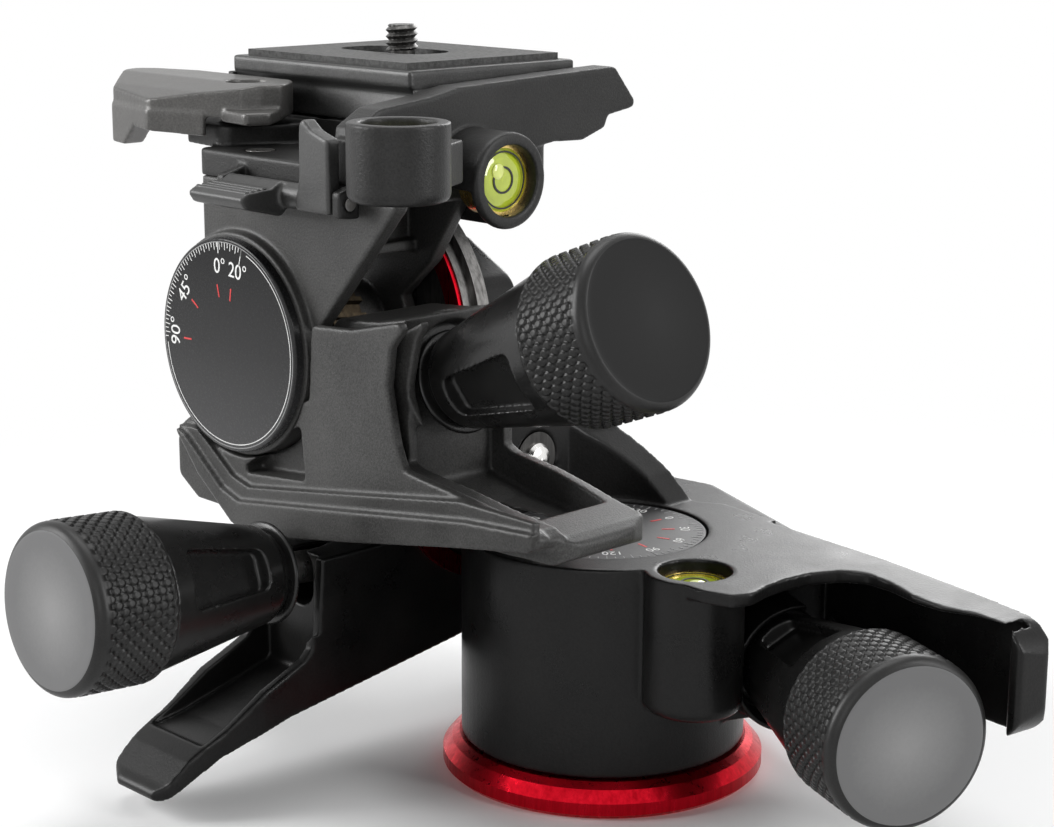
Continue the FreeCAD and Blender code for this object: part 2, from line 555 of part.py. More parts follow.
def pan_housing():
    drum = up(DRUM_RADIUS, HOUSING_FLOOR, DRUM_TOP)
    centre = worm_distance(PAN_TEETH)
    back = centre + CARRIER_PLATE_GAP + CARRIER_PLATE + RELEASE_LIFT + 2.0
    block = slab("xy", [(-PIVOT_DISTANCE - PIVOT_BOSS_RADIUS, centre - 6), (-20, 12), (23, 8), (23, back),
                        (-PIVOT_DISTANCE + 4, back), (-PIVOT_DISTANCE - PIVOT_BOSS_RADIUS, centre + 4)],
                 -UNIT_HALF_WIDTH, DRUM_TOP - PAN_WORM_HEIGHT - 1.5, 2.0)
    block = put(block, PAN_FRAME)
    deck_edge = [(20, -14), (37, -15.5), (42.5, -14), (44.4, -10.4), (43.2, -5), (43.0, 0), (43.8, 5.5), (46.4, 10.6), (50.4, 13.2),
                 (55.5, 12.7), (62, 10.6), (68, 10.2), (74, 12.3), fin_point(FIN_TIP - 3, 22.6), fin_point(FIN_TIP, 23.4),
                 fin_point(FIN_TIP, FIN_BACK), fin_point(0, FIN_BACK), (-10, 20)]
    deck = slab("xy", deck_edge, DRUM_TOP - DECK_THICKNESS, DRUM_TOP, 2.5)
    back_wall = slab("xy", [fin_point(18, FIN_BACK - FIN_WALL), fin_point(FIN_TIP - 1, FIN_BACK - FIN_WALL),
                            fin_point(FIN_TIP - 1, FIN_BACK), fin_point(18, FIN_BACK)], FIN_LOW, DRUM_TOP - 1)
    end_wall = slab("xy", [fin_point(FIN_TIP - 3.4, 22.0), fin_point(FIN_TIP - 0.6, 21.6), fin_point(FIN_TIP, FIN_BACK - 1),
                           fin_point(FIN_TIP - 1.5, FIN_BACK), fin_point(FIN_TIP - 3.4, FIN_BACK)], FIN_LOW, DRUM_TOP - 0.5, 0.8)
    fin_side = slab("xz", [(-60, FIN_LOW), (FIN_TIP, FIN_LOW), (FIN_TIP, FIN_TIP_TOP), (45, DRUM_TOP), (-60, DRUM_TOP)],
                    -FIN_BACK, FIN_BACK + 20, FIN_TIP_ROUND)
    bevel = slab("yz", [(FIN_BACK - 1.8, DRUM_TOP + 0.1), (FIN_BACK + 1, DRUM_TOP + 0.1), (FIN_BACK + 1, DRUM_TOP - 2.2), (FIN_BACK, DRUM_TOP - 1.6)],
                 15, FIN_TIP + 1)
    fin_side = fin_side.cut(bevel)
    fin_side.rotate(ORIGIN, Z_AXIS, -FIN_TURN)
    fin = join(deck, back_wall, end_wall).common(fin_side)
    shroud = rod(SHROUD_RADIUS, Vector(19, centre, 0), Vector(31, centre, 0))
    keep = box(10, 40, centre - 20, centre + 2, -20, DRUM_TOP - PAN_WORM_HEIGHT - 1)
    shroud = put(shroud.common(keep), PAN_FRAME)
    level_boss = up(LEVEL_RADIUS, LEVEL_BOSS_LOW, DRUM_TOP, PAN_LEVEL_X, PAN_LEVEL_Y)
    level_boss = soften(level_boss, 2.0, lambda e: e.BoundBox.ZMax < LEVEL_BOSS_LOW + 1)
    boss_web = slab("xy", [(10, -12), (PAN_LEVEL_X, -12.5), (PAN_LEVEL_X + 4, 0), (10, 10)], LEVEL_BOSS_LOW + 1, DRUM_TOP - 0.5, 1.0)
    ring_wall = up(DRUM_RADIUS, DRUM_TOP - 2, 70).cut(up(UPRIGHT_INNER, DRUM_TOP - 2, 70))
    slope = math.tan(radians(UPRIGHT_LIMIT))
    side_outline = [(-8.6, DRUM_TOP - 2), (-9.4, DRUM_TOP + 2), (-12.0, LATERAL_AXIS_HEIGHT - 2), (-12.2, LATERAL_AXIS_HEIGHT), (-9, LATERAL_AXIS_HEIGHT + 8), (0, 67.3),
                    (9, LATERAL_AXIS_HEIGHT + 8), (12.6, LATERAL_AXIS_HEIGHT + 12.6 * slope), (20, LATERAL_AXIS_HEIGHT + 20 * slope),
                    (27, LATERAL_AXIS_HEIGHT + 20 * slope), (27, DRUM_TOP - 2)]
    front_outline = [(-26, DRUM_TOP - 2), (-26, 70), (-20, 63), (-16.4, 58), (-11.2, 53.6), (-6.9, 50), (-2, DRUM_TOP), (2, DRUM_TOP - 2)]
    upright = ring_wall.common(slab("yz", side_outline, UPRIGHT_FACE, 10, 2.0))
    upright = upright.common(slab("xz", front_outline, -30, 30, 2.0))
    web = slab("yz", [(-8.6, DRUM_TOP - 2), (-9.4, DRUM_TOP + 2), (-12.2, LATERAL_AXIS_HEIGHT), (12.4, LATERAL_AXIS_HEIGHT), (18, DRUM_TOP - 2)],
               UPRIGHT_FACE, UPRIGHT_FACE + 6.6).common(up(DRUM_RADIUS + 3, 40, 60))
    hub = rod(UPRIGHT_HUB_RADIUS, Vector(UPRIGHT_FACE, 0, LATERAL_AXIS_HEIGHT),
              Vector(UPRIGHT_FACE + UPRIGHT_THICKNESS, 0, LATERAL_AXIS_HEIGHT))
    hub = soften(hub, 1.5, lambda e: e.BoundBox.XMin > UPRIGHT_FACE + 1)
    pivot_boss = put(rod(PIVOT_BOSS_RADIUS, Vector(-PIVOT_DISTANCE, centre, -BOSS_HALF_WIDTH),
                         Vector(-PIVOT_DISTANCE, centre, BOSS_HALF_WIDTH)), PAN_FRAME)
    solid = join(drum, block, fin, shroud, level_boss, boss_web, upright, web, hub, pivot_boss)
    neck_start = PAN_KNOB_FACE - KNOB_LENGTH - KNOB_NECK_LENGTH - ROOM
    way_radius = KNOB_ROOT_RADIUS + 0.9
    knob_way = put(join(rod(way_radius, Vector(neck_start, centre, 0), Vector(90, centre, 0)),
                        rod(way_radius, Vector(neck_start, centre + 3, 0), Vector(46, centre + 3, 0))), PAN_FRAME)
    cone_way = put(turned([(neck_start, 0), (neck_start, way_radius), (PAN_KNOB_FACE, KNOB_RADIUS + 1.2),
                           (PAN_KNOB_FACE + 8, KNOB_RADIUS + 1.2), (PAN_KNOB_FACE + 8, 0)],
                          Vector(0, centre, 0), X_AXIS), PAN_FRAME)
    cuts = [up(FLANGE_RADIUS + ROOM, HOUSING_FLOOR - 1, flange_top), up(bush_radius, HOUSING_FLOOR, COLUMN_TOP),
            up(tip_radius(PAN_TEETH) + 0.8, wheel_low, wheel_high), up(NUT_RADIUS + ROOM, nut_bottom, COLUMN_TOP),
            up(PAN_DIAL_RADIUS + 0.4, COLUMN_TOP - LOOSE, DRUM_TOP + 8).common(box(-19.4, 30, -30, 30, 40, 60)),
            put(chamber(PAN_TEETH, 24), PAN_FRAME), put(pivot_pin(PAN_TEETH), PAN_FRAME),
            up(LEVEL_BORE, DRUM_TOP - LEVEL_VIAL_HEIGHT - LEVEL_RECESS, DRUM_TOP, PAN_LEVEL_X, PAN_LEVEL_Y),
            rod(LATERAL_AXLE_RADIUS, Vector(-30, 0, LATERAL_AXIS_HEIGHT), Vector(-10, 0, LATERAL_AXIS_HEIGHT)),
            knob_way, cone_way]
    for cutter in cuts:
        solid = solid.cut(cutter)
    return solid


def level_vial(base_centre, direction):
    """Bubble vial: a short cylinder with a low dome on top."""
    radius = LEVEL_BORE - LEVEL_RING_WALL
    profile = [(0, 0), (0, radius), (LEVEL_VIAL_HEIGHT - 0.6, radius), (LEVEL_VIAL_HEIGHT - 0.2, radius * 0.7),
               (LEVEL_VIAL_HEIGHT, 0)]
    return turned(profile, base_centre, direction)


def level_ring(base_centre, direction):
    return sleeve(LEVEL_BORE, LEVEL_BORE - LEVEL_RING_WALL, base_centre, base_centre + direction * LEVEL_VIAL_HEIGHT)


def level(prefix, base_centre, direction):
    save(f"{prefix}_level_vial", level_vial(base_centre, direction))
    save(f"{prefix}_level_ring", level_ring(base_centre, direction))


save("pan_housing", pan_housing())
level("pan", Vector(PAN_LEVEL_X, PAN_LEVEL_Y, DRUM_TOP - LEVEL_VIAL_HEIGHT - LEVEL_RECESS), Z_AXIS)

# ---------------------------------------------------------------- lateral axle
AXLE_START = -48.6
AXLE_BOLT_RADIUS = 2.4
AXLE_BOLT_HEAD = 2.9
SEAT_RADIUS = 7.6
AXLE_BUSH_RADIUS = 6.5
lateral_axis = Vector(0, 0, LATERAL_AXIS_HEIGHT)
axle_end = UPRIGHT_FACE + UPRIGHT_THICKNESS


def on_lateral_axis(x):
    return Vector(x, 0, LATERAL_AXIS_HEIGHT)


def on_front_axis(y):
    return Vector(FRONT_AXIS_X, y, FRONT_AXIS_HEIGHT)


bolt_hole = rod(AXLE_BOLT_RADIUS, on_lateral_axis(axle_end - 14), on_lateral_axis(axle_end))
save("lateral_axle", rod(LATERAL_AXLE_RADIUS, on_lateral_axis(AXLE_START), on_lateral_axis(axle_end)).cut(bolt_hole))
bolt_profile = [(-14, 0), (-14, AXLE_BOLT_RADIUS), (0, AXLE_BOLT_RADIUS), (0, AXLE_BOLT_HEAD), (0.5, AXLE_BOLT_HEAD),
                (1.2, AXLE_BOLT_HEAD * 0.8), (1.6, AXLE_BOLT_HEAD * 0.45), (1.75, 0)]
save("lateral_axle_bolt", turned(bolt_profile, on_lateral_axis(axle_end), X_AXIS))
wheel_room_low = LATERAL_WORM_X - WHEEL_WIDTH / 2 - WHEEL_ROOM
wheel_room_high = LATERAL_WORM_X + WHEEL_WIDTH / 2 + WHEEL_ROOM
lateral_bushes = [sleeve(AXLE_BUSH_RADIUS, LATERAL_AXLE_RADIUS + RUNNING, on_lateral_axis(low), on_lateral_axis(high))
                  for low, high in ((AXLE_START, wheel_room_low), (wheel_room_high, LATERAL_DRUM_FRONT))]
THRUST_RING_RADIUS = 9.0
lateral_bushes.append(sleeve(THRUST_RING_RADIUS, LATERAL_AXLE_RADIUS + RUNNING, on_lateral_axis(LATERAL_DRUM_FRONT),
                             on_lateral_axis(UPRIGHT_FACE - LOOSE)))
save("lateral_axle_bushes", Part.makeCompound(lateral_bushes))

# ---------------------------------------------------------------- lateral housing
SECTOR_TIP_ROOM = 0.8
RING_DEPTH = 1.2
ARM_TOP = 41.4
ARM_BACK = -49.5
PLATE_GAP = RING_PLATE_Y + RING_PLATE + LOOSE   # y of the lateral housing's face behind the ring plate
CASTING_REAR = -13.0
TROUGH_WALL = 2.2


def sector_room():
    """Space swept by the toothed sector inside the lateral stage."""
    return rod(tip_radius(LATERAL_TEETH) + SECTOR_TIP_ROOM, on_lateral_axis(wheel_room_low), on_lateral_axis(wheel_room_high))


def knob_room(teeth, face, length, start, matrix):
    """Space round a knob, with its release swing towards the fin."""
    centre = worm_distance(teeth)
    root = KNOB_ROOT_RADIUS + 1.9
    cone = turned([(start, 0), (start, root), (face - length, root), (face, KNOB_RADIUS + 1.2),
                   (face + 8, KNOB_RADIUS + 1.2), (face + 8, 0)], Vector(0, centre, 0), X_AXIS)
    swung = rod(root, Vector(start, centre + 3.4, 0), Vector(face - length + 15, centre + 3.4, 0))
    return put(join(cone, swung), matrix)


def boss_room(teeth, matrix, radius, half):
    centre = worm_distance(teeth)
    pivot = pivot_distance(teeth)
    return put(rod(radius, Vector(-pivot, centre, -half), Vector(-pivot, centre, half)), matrix)


def lateral_housing():
    drum = rod(LATERAL_DRUM_RADIUS, on_lateral_axis(LATERAL_DRUM_BACK), on_lateral_axis(LATERAL_SIDE))
    drum = soften(drum, 1.5, lambda e: e.BoundBox.XMax < LATERAL_DRUM_BACK + 1)
    hub = rod(LATERAL_DRUM_RADIUS - 4.2, on_lateral_axis(LATERAL_SIDE - 1), on_lateral_axis(LATERAL_DRUM_FRONT))
    arm_outline = [(-13, ARM_TOP + 1), (-20, ARM_TOP), (-45.8, ARM_TOP), (-45.6, 25), (-47.2, 23.2),
                   (-51.5, 21.3), (-56.5, 19.2), (-61, 16.4), (-65, 14), (-70, 11.9), (-73, 10.4), (-77.6, 6.7), (-79.6, 5.4),
                   (-79, 3.5), (-75.3, 5.1), (-66, 9.3), (-51, 13.0), (-10, 18.9), (24, 25.6), (34, 26.5), (36, 33), (33, 41),
                   (22, 46), (0, 50)]
    arm = slab("yz", arm_outline, ARM_BACK, LATERAL_SIDE, 1.4)
    arm_plan = slab("xy", [(ARM_BACK, 40), (ARM_BACK, -57), (-47.6, -77), (-43, -79.8), (-38, -80.6), (-33.5, -79.6), (-30.8, -77), (LATERAL_SIDE, -57),
                           (LATERAL_SIDE, 40)], 0, 60, 2.0)
    arm = arm.common(arm_plan)
    stand_outline = [(-71, 72), (-68, 86), (-58, 94), (-44, 94), (-31, 87), (-28.5, 78), (-28.5, 50), (-50, 44), (-58, 58)]
    stand = slab("xz", stand_outline, PLATE_GAP, 6.5, 5.0)
    boss = boss_room(LATERAL_TEETH, LATERAL_FRAME, PIVOT_BOSS_RADIUS, BOSS_HALF_WIDTH)
    above_arm = box(-60, -20, -30, CASTING_REAR, ARM_TOP + 0.1, 90)
    above_seat = box(-60, -20, -30, PLATE_GAP, 58, 90)
    body = join(drum, hub, arm, boss).cut(above_arm).cut(above_seat)
    body = join(body, stand, rod(SEAT_RADIUS, on_lateral_axis(LATERAL_DRUM_BACK), on_lateral_axis(LATERAL_DRUM_FRONT)))
    trough = slab("yz", [(-41.8, 60), (-41.8, 18.0), (-52, 15.2), (-62, 12.6), (-68.5, 11.6), (-70.5, 12.3), (-70, 30), (-60, 60)],
                  ARM_BACK + TROUGH_WALL, LATERAL_SIDE - TROUGH_WALL, 1.5)
    ring_seat = rod(LATERAL_DRUM_RADIUS + 0.2, on_lateral_axis(LATERAL_SIDE), on_lateral_axis(LATERAL_SIDE + 6)).cut(
        rod(LATERAL_DRUM_RADIUS - 4.2, on_lateral_axis(LATERAL_SIDE), on_lateral_axis(LATERAL_SIDE + 6)))
    cuts = [sector_room(), put(chamber(LATERAL_TEETH, 42.5), LATERAL_FRAME), put(pivot_pin(LATERAL_TEETH), LATERAL_FRAME),
            rod(AXLE_BUSH_RADIUS, on_lateral_axis(AXLE_START), on_lateral_axis(-20)), trough, ring_seat,
            knob_room(LATERAL_TEETH, LATERAL_KNOB_FACE, KNOB_LENGTH, 42.0, LATERAL_FRAME),
            rod(FRONT_AXLE_RADIUS, on_front_axis(-10), on_front_axis(5.0))] + plate_bolts + joint_screws
    for cutter in cuts:
        body = body.cut(cutter)
    return body


ring = sleeve(LATERAL_DRUM_RADIUS, LATERAL_DRUM_RADIUS - 3.6, on_lateral_axis(LATERAL_SIDE), on_lateral_axis(LATERAL_SIDE + RING_DEPTH))
ring = ring.cut(box(-60, -20, -30, CASTING_REAR, ARM_TOP, 90)).cut(box(-60, -20, -30, PLATE_GAP, 58, 90))
save("lateral_friction_ring", ring)

# ---------------------------------------------------------------- front tilt axle, ring plate and dial
axle_front = FRONT_PLATE_Y + 0.2
save("front_axle", rod(FRONT_AXLE_RADIUS, on_front_axis(axle_front), on_front_axis(5.0)))
axle_room = join(sector_room(), rod(SEAT_RADIUS + LOOSE, on_lateral_axis(-52), on_lateral_axis(-26)))
ring_plate = sleeve(RING_PLATE_RADIUS, FRONT_AXLE_RADIUS, on_front_axis(RING_PLATE_Y), on_front_axis(RING_PLATE_Y + RING_PLATE))
ring_step = rod(RING_PLATE_RADIUS + 5, on_front_axis(RING_PLATE_Y - 1), on_front_axis(RING_PLATE_Y + 2.2)).cut(
    rod(RING_PLATE_RADIUS - 1.6, on_front_axis(RING_PLATE_Y - 1), on_front_axis(RING_PLATE_Y + 2.2)))
ring_seat_cut = sleeve(FRICTION_RING_RADIUS, FRICTION_RING_RADIUS - 4, on_front_axis(RING_PLATE_Y), on_front_axis(RING_PLATE_Y + 0.8))
bolts_at = [on_front_axis(RING_PLATE_Y) + Vector(12 * math.cos(radians(a)), 0, 12 * math.sin(radians(a))) for a in (60, 120, 180)]
plate_bolts = [join(rod(1.5, p, p + Y_AXIS * 12), rod(2.6, p, p + Y_AXIS * 2.6)) for p in bolts_at]
plate_bolt_room = Part.makeCompound([join(rod(1.5, p, p + Y_AXIS * 12), rod(2.6, p - Y_AXIS, p + Y_AXIS * 2.6)) for p in bolts_at])
keep_clear = box(-52, -26, -30, PLATE_GAP, 20, 58.4)
save("front_ring_plate", ring_plate.cut(ring_step).cut(ring_seat_cut).cut(axle_room).cut(plate_bolt_room).cut(keep_clear))
friction = sleeve(FRICTION_RING_RADIUS, FRICTION_RING_RADIUS - 3.6, on_front_axis(RING_PLATE_Y - 0.8), on_front_axis(RING_PLATE_Y + 0.8))
save("front_friction_ring", friction.cut(axle_room).cut(box(-52, -26, -30, PLATE_GAP, 20, 62)))
dial = rod(FRONT_DIAL_RADIUS, on_front_axis(FRONT_PLATE_Y - FRONT_DIAL_THICKNESS), on_front_axis(FRONT_PLATE_Y + 0.2))
dial = soften(dial, 0.5, lambda e: e.BoundBox.YMax < FRONT_PLATE_Y - 1)
save("front_dial", dial)

# ---------------------------------------------------------------- front tilt housing
SKIN = 2.0
RAIL_RISE = 2.2
MID_FRONT = -36.2
FIN_FRONT = -38.2
SWEEP_STEP = 4
joint_screws = [rod(1.25, Vector(x, -22, z), Vector(x, -8.4, z)) for x, z in ((-46.8, 47.3), (-31.5, 49.6))]


def pan_sweep():
    """Space that the pan drum sweeps, seen from the lateral stage, as it leans by its lower limit."""
    drum = join(up(DRUM_RADIUS + ROOM, 0, DRUM_TOP + ROOM), up(LEVEL_RADIUS + ROOM, 0, DRUM_TOP + ROOM, PAN_LEVEL_X, PAN_LEVEL_Y))
    copies = []
    for angle in range(0, 21, SWEEP_STEP):
        made = drum.copy()
        made.rotate(lateral_axis, Vector(-1, 0, 0), angle)
        copies.append(made)
    return copies


def level_sweep():
    """Space that the side level on the clamp sweeps at the end of the front stage's backward lean."""
    body = rod(LEVEL_RADIUS + ROOM, Vector(-34, SIDE_LEVEL_Y, SIDE_LEVEL_Z), Vector(SIDE_LEVEL_X + ROOM, SIDE_LEVEL_Y, SIDE_LEVEL_Z))
    copies = []
    for angle in (14, 17, 20):
        made = body.copy()
        made.rotate(on_front_axis(0), Y_AXIS, angle)
        copies.append(made)
    return copies


def tilt_housing():
    centre = worm_distance(FRONT_TEETH)
    lower_edge = [(24.6, 54.6), (9, 52.1), (-22.3, 46.4), (-49.3, 42.0), (-55.3, 43.2), (-65.4, 50.7), (-73, 59.2)]
    skin = slab("xz", [(-33, 84), (-22, 84.8), (-6.5, 88.5), (-11.5, 83), (-12.5, 76), (-10.3, 66.0), (-8.4, 61.9), (-3.4, 61.2), (2.5, 60.6),
                       (13.7, 59.2), (23.4, 58.0), (26.2, 56.4)] + lower_edge + [(-68.5, 62.2), (-52, 66), (-34, 70)],
                FRONT_PLATE_Y, FRONT_PLATE_Y + SKIN, 1.2)
    belly = slab("xz", lower_edge + [(-68.5, 62.2), (-40, 62), (-13, 62.6), (-8.4, 61.2), (-3.4, 60.6), (2.5, 60.0), (13.7, 58.4), (23.4, 57.4), (26.0, 56.0)],
                 FRONT_PLATE_Y, MID_FRONT, 1.2)
    middle = slab("xz", [(-37, 80), (-33, 84.5), (-22, 85.4), (-6.5, 88.5), (-9.5, 84), (-11.5, 76), (-11, 62), (-11, 49.5), (-22.3, 46.4),
                         (-49.3, 42.0), (-57, 43.0), (-74, 43.2), (-80, 47), (-80, 55), (-74, 58.2), (-64, 60)],
                  MID_FRONT - 1.8, CASTING_REAR, 1.5)
    fin = slab("xz", [(-14, 66), (-12.2, 63.3), (-11, 61.4), (-8.5, 60.4), (0, 59.3), (10.7, 57.9), (17, 56.9), (24.8, 56.0), (27.6, 54.8),
                      (27.2, 52.6), (24.5, 51.2), (10, 50.6), (-14, 46.8)], FIN_FRONT, CASTING_REAR, 1.2)
    fin_plan = slab("xy", [(-20, FIN_FRONT), (25.5, FIN_FRONT), (27.2, -35), (27.8, -28), (27, -21), (24.6, -16.2), (15, -14.8), (2, CASTING_REAR),
                           (-20, CASTING_REAR)], 40, 70, 1.5)
    fin = fin.common(fin_plan)
    rail_top = [(-66.7, 59.5), (-56.0, 52.0), (-51.0, 50.8), (-22.1, 55.2), (7.4, 59.8), (25, 59.6)]
    rail_crest = [(-69.3, 57.9), (-58.2, 49.5), (-53.1, 47.9), (-22.1, 52.3), (9.0, 56.8), (25.6, 58.0)]
    rail = slab("xz", rail_top + lower_edge, FRONT_PLATE_Y - RAIL_RISE / 2, FRONT_PLATE_Y + 0.6, 0.4)
    crest = slab("xz", rail_crest + lower_edge, FRONT_PLATE_Y - RAIL_RISE, FRONT_PLATE_Y, 0.4)
    collar = put(rod(KNOB_ROOT_RADIUS + 4.1, Vector(32.8, centre, 0), Vector(40.1, centre, 0)), FRONT_FRAME)
    boss = boss_room(FRONT_TEETH, FRONT_FRAME, PIVOT_BOSS_RADIUS, BOSS_HALF_WIDTH)
    solid = join(skin, belly, middle, fin, rail, crest, collar, boss)
    trough = slab("xz", [(-14.5, 90), (-14.5, 56.0), (-4, 53.6), (8, 52.8), (14.5, 53.8), (17.6, 57.5), (17.8, 90)],
                  FIN_FRONT + TROUGH_WALL, CASTING_REAR - TROUGH_WALL, 1.5)
    trough_plan = slab("xy", [(-16, -37), (19, -37), (19, -18.6), (14, -17.4), (2, -15.4), (-16, -15.0)], 40, 100, 1.0)
    trough = trough.common(trough_plan)
    window = slab("xz", [(-36.7, 65.2), (-35.6, 54.8), (-52.9, 53.1), (-52.8, 54.7)], FRONT_PLATE_Y - 4, FRONT_PLATE_Y + 4, 0.8)
    wall_sweep = slab("xz", [(-60, 66), (-36, 73.0), (-4.5, 89.4), (-4.5, 110), (-60, 110)], FRONT_PLATE_Y + SKIN - 0.1, MID_FRONT + 0.4)
    cuts = [rod(ROTOR_HUB_RADIUS + LOOSE, on_front_axis(FRONT_PLATE_Y - 1), on_front_axis(MID_FRONT + 0.4)), wall_sweep,
            rod(tip_radius(FRONT_TEETH) + 0.8, on_front_axis(MID_FRONT - 1), on_front_axis(CASTING_REAR + 1)),
            sector_room(), put(chamber(FRONT_TEETH, 38.8), FRONT_FRAME), put(pivot_pin(FRONT_TEETH), FRONT_FRAME),
            knob_room(FRONT_TEETH, FRONT_KNOB_FACE, FRONT_KNOB_LENGTH, 38.0, FRONT_FRAME), trough, window] + pan_sweep() + level_sweep() + joint_screws
    for cutter in cuts:
        solid = solid.cut(cutter)
    return solid


save("tilt_housing", tilt_housing())
save("lateral_housing", lateral_housing())
save("lateral_stage_screws", Part.makeCompound(joint_screws + plate_bolts))

# ---------------------------------------------------------------- tilting bracket
WALL_INNER = -36.5
REAR_OUTER = -9.3
REAR_INNER = -12.3
HUB_BUSH_RADIUS = 6.5
REAR_HUB_RADIUS = 15.0
RIB = 2.0


def tilt_bracket():
    front = slab("xz", [(-67.5, CLAMP_FLOOR), (-67.5, 95), (-62, 84), (-36.5, 79.7), (-13, 106), (-12, CLAMP_FLOOR)],
                 ROTOR_WALL_Y, WALL_INNER, 1.0)
    front_hub = rod(ROTOR_HUB_RADIUS, on_front_axis(FRONT_PLATE_Y + LOOSE), on_front_axis(WALL_INNER))
    rear = slab("xz", [(-67.5, CLAMP_FLOOR), (-67.5, 94), (-62, 84), (-43, 84), (-34, 92), (-24, CLAMP_FLOOR)],
                REAR_INNER, REAR_OUTER, 1.5)
    rear_hub = rod(REAR_HUB_RADIUS, on_front_axis(REAR_INNER), on_front_axis(REAR_OUTER))
    tube = rod(ROTOR_TUBE_RADIUS, on_front_axis(WALL_INNER - 1), on_front_axis(REAR_OUTER))
    left = slab("xz", [(-67.5, CLAMP_FLOOR), (-67.5, 95), (-64.5, 93.2), (-61, 93.8), (-61, CLAMP_FLOOR)], WALL_INNER - 0.5, REAR_INNER + 0.5)
    top = box(-67.5, -24.5, ROTOR_WALL_Y, REAR_OUTER, CLAMP_FLOOR - 3, CLAMP_FLOOR)
    floor = box(-64, -38, WALL_INNER - 0.5, REAR_INNER + 0.5, 93.8, 95.8)
    ribs = [box(x, x + RIB, WALL_INNER - 0.5, REAR_INNER + 0.5, 94, CLAMP_FLOOR) for x in (-52, -42)]
    solid = join(front, front_hub, rear, rear_hub, tube, left, top, floor, *ribs)
    return solid.cut(rod(HUB_BUSH_RADIUS, on_front_axis(FRONT_PLATE_Y), on_front_axis(REAR_OUTER)))


clamp_screws_at = [(-58, -33), (-58, -15), (-30, -33), (-30, -15)]
clamp_screws = [join(up(1.5, CLAMP_FLOOR - 3, CLAMP_FLOOR + 3.2, x, y), up(2.7, CLAMP_FLOOR + 3.2, CLAMP_FLOOR + CLAMP_FLOOR_THICKNESS, x, y))
                for x, y in clamp_screws_at]
clamp_screw_set = Part.makeCompound(clamp_screws)
save("tilt_bracket", tilt_bracket().cut(clamp_screw_set))
tilt_bushes = [sleeve(HUB_BUSH_RADIUS, FRONT_AXLE_RADIUS + RUNNING, on_front_axis(low), on_front_axis(high))
               for low, high in ((FRONT_PLATE_Y + LOOSE, FRONT_PLATE_Y + 8), (REAR_OUTER - 7, REAR_OUTER))]
save("front_axle_bushes", Part.makeCompound(tilt_bushes))

# ---------------------------------------------------------------- plate clamp
plate_bottom = PLATE_TOP - PLATE_HEIGHT
plate_x0, plate_x1 = PLATE_X - PLATE_LENGTH / 2, PLATE_X + PLATE_LENGTH / 2
plate_y0, plate_y1 = PLATE_Y - PLATE_WIDTH / 2, PLATE_Y + PLATE_WIDTH / 2
DOVETAIL = 1.2
PLATE_RIM = 3.0
JAW_TOP = 124.4
clamp_bed = plate_bottom - LOOSE
LEVER_X, LEVER_Y = -69.0, -27.1
CATCH_Y, CATCH_Z = -42.3, 107.0
CATCH_LEFT, CATCH_RIGHT = -53.6, -23.6
EAR = 2.2
EAR_OUT = EAR + LOOSE        # from the end of the catch to the outer side of its ear
CATCH_PIN_RADIUS = 1.2
CATCH_BARREL_RADIUS = 2.3
LEVER_SCREW_RADIUS = 1.9
FRONT_LEVEL_X, FRONT_LEVEL_Y, FRONT_LEVEL_TOP, FRONT_LEVEL_HEIGHT = -6.5, -44.0, 122.6, 13.4


def dovetail(grow, low, high):
    """Plate body: a block with a dovetail foot along its two long sides, grown by a gap."""
    rim = PLATE_TOP - PLATE_RIM
    section = [(plate_y0 - grow, high), (plate_y0 - grow, rim), (plate_y0 + DOVETAIL - grow, rim - DOVETAIL),
               (plate_y0 - grow + 0.4, low), (plate_y1 + grow - 0.4, low), (plate_y1 - DOVETAIL + grow, rim - DOVETAIL),
               (plate_y1 + grow, rim), (plate_y1 + grow, high)]
    return slab("yz", section, plate_x0 - grow, plate_x1 + grow)


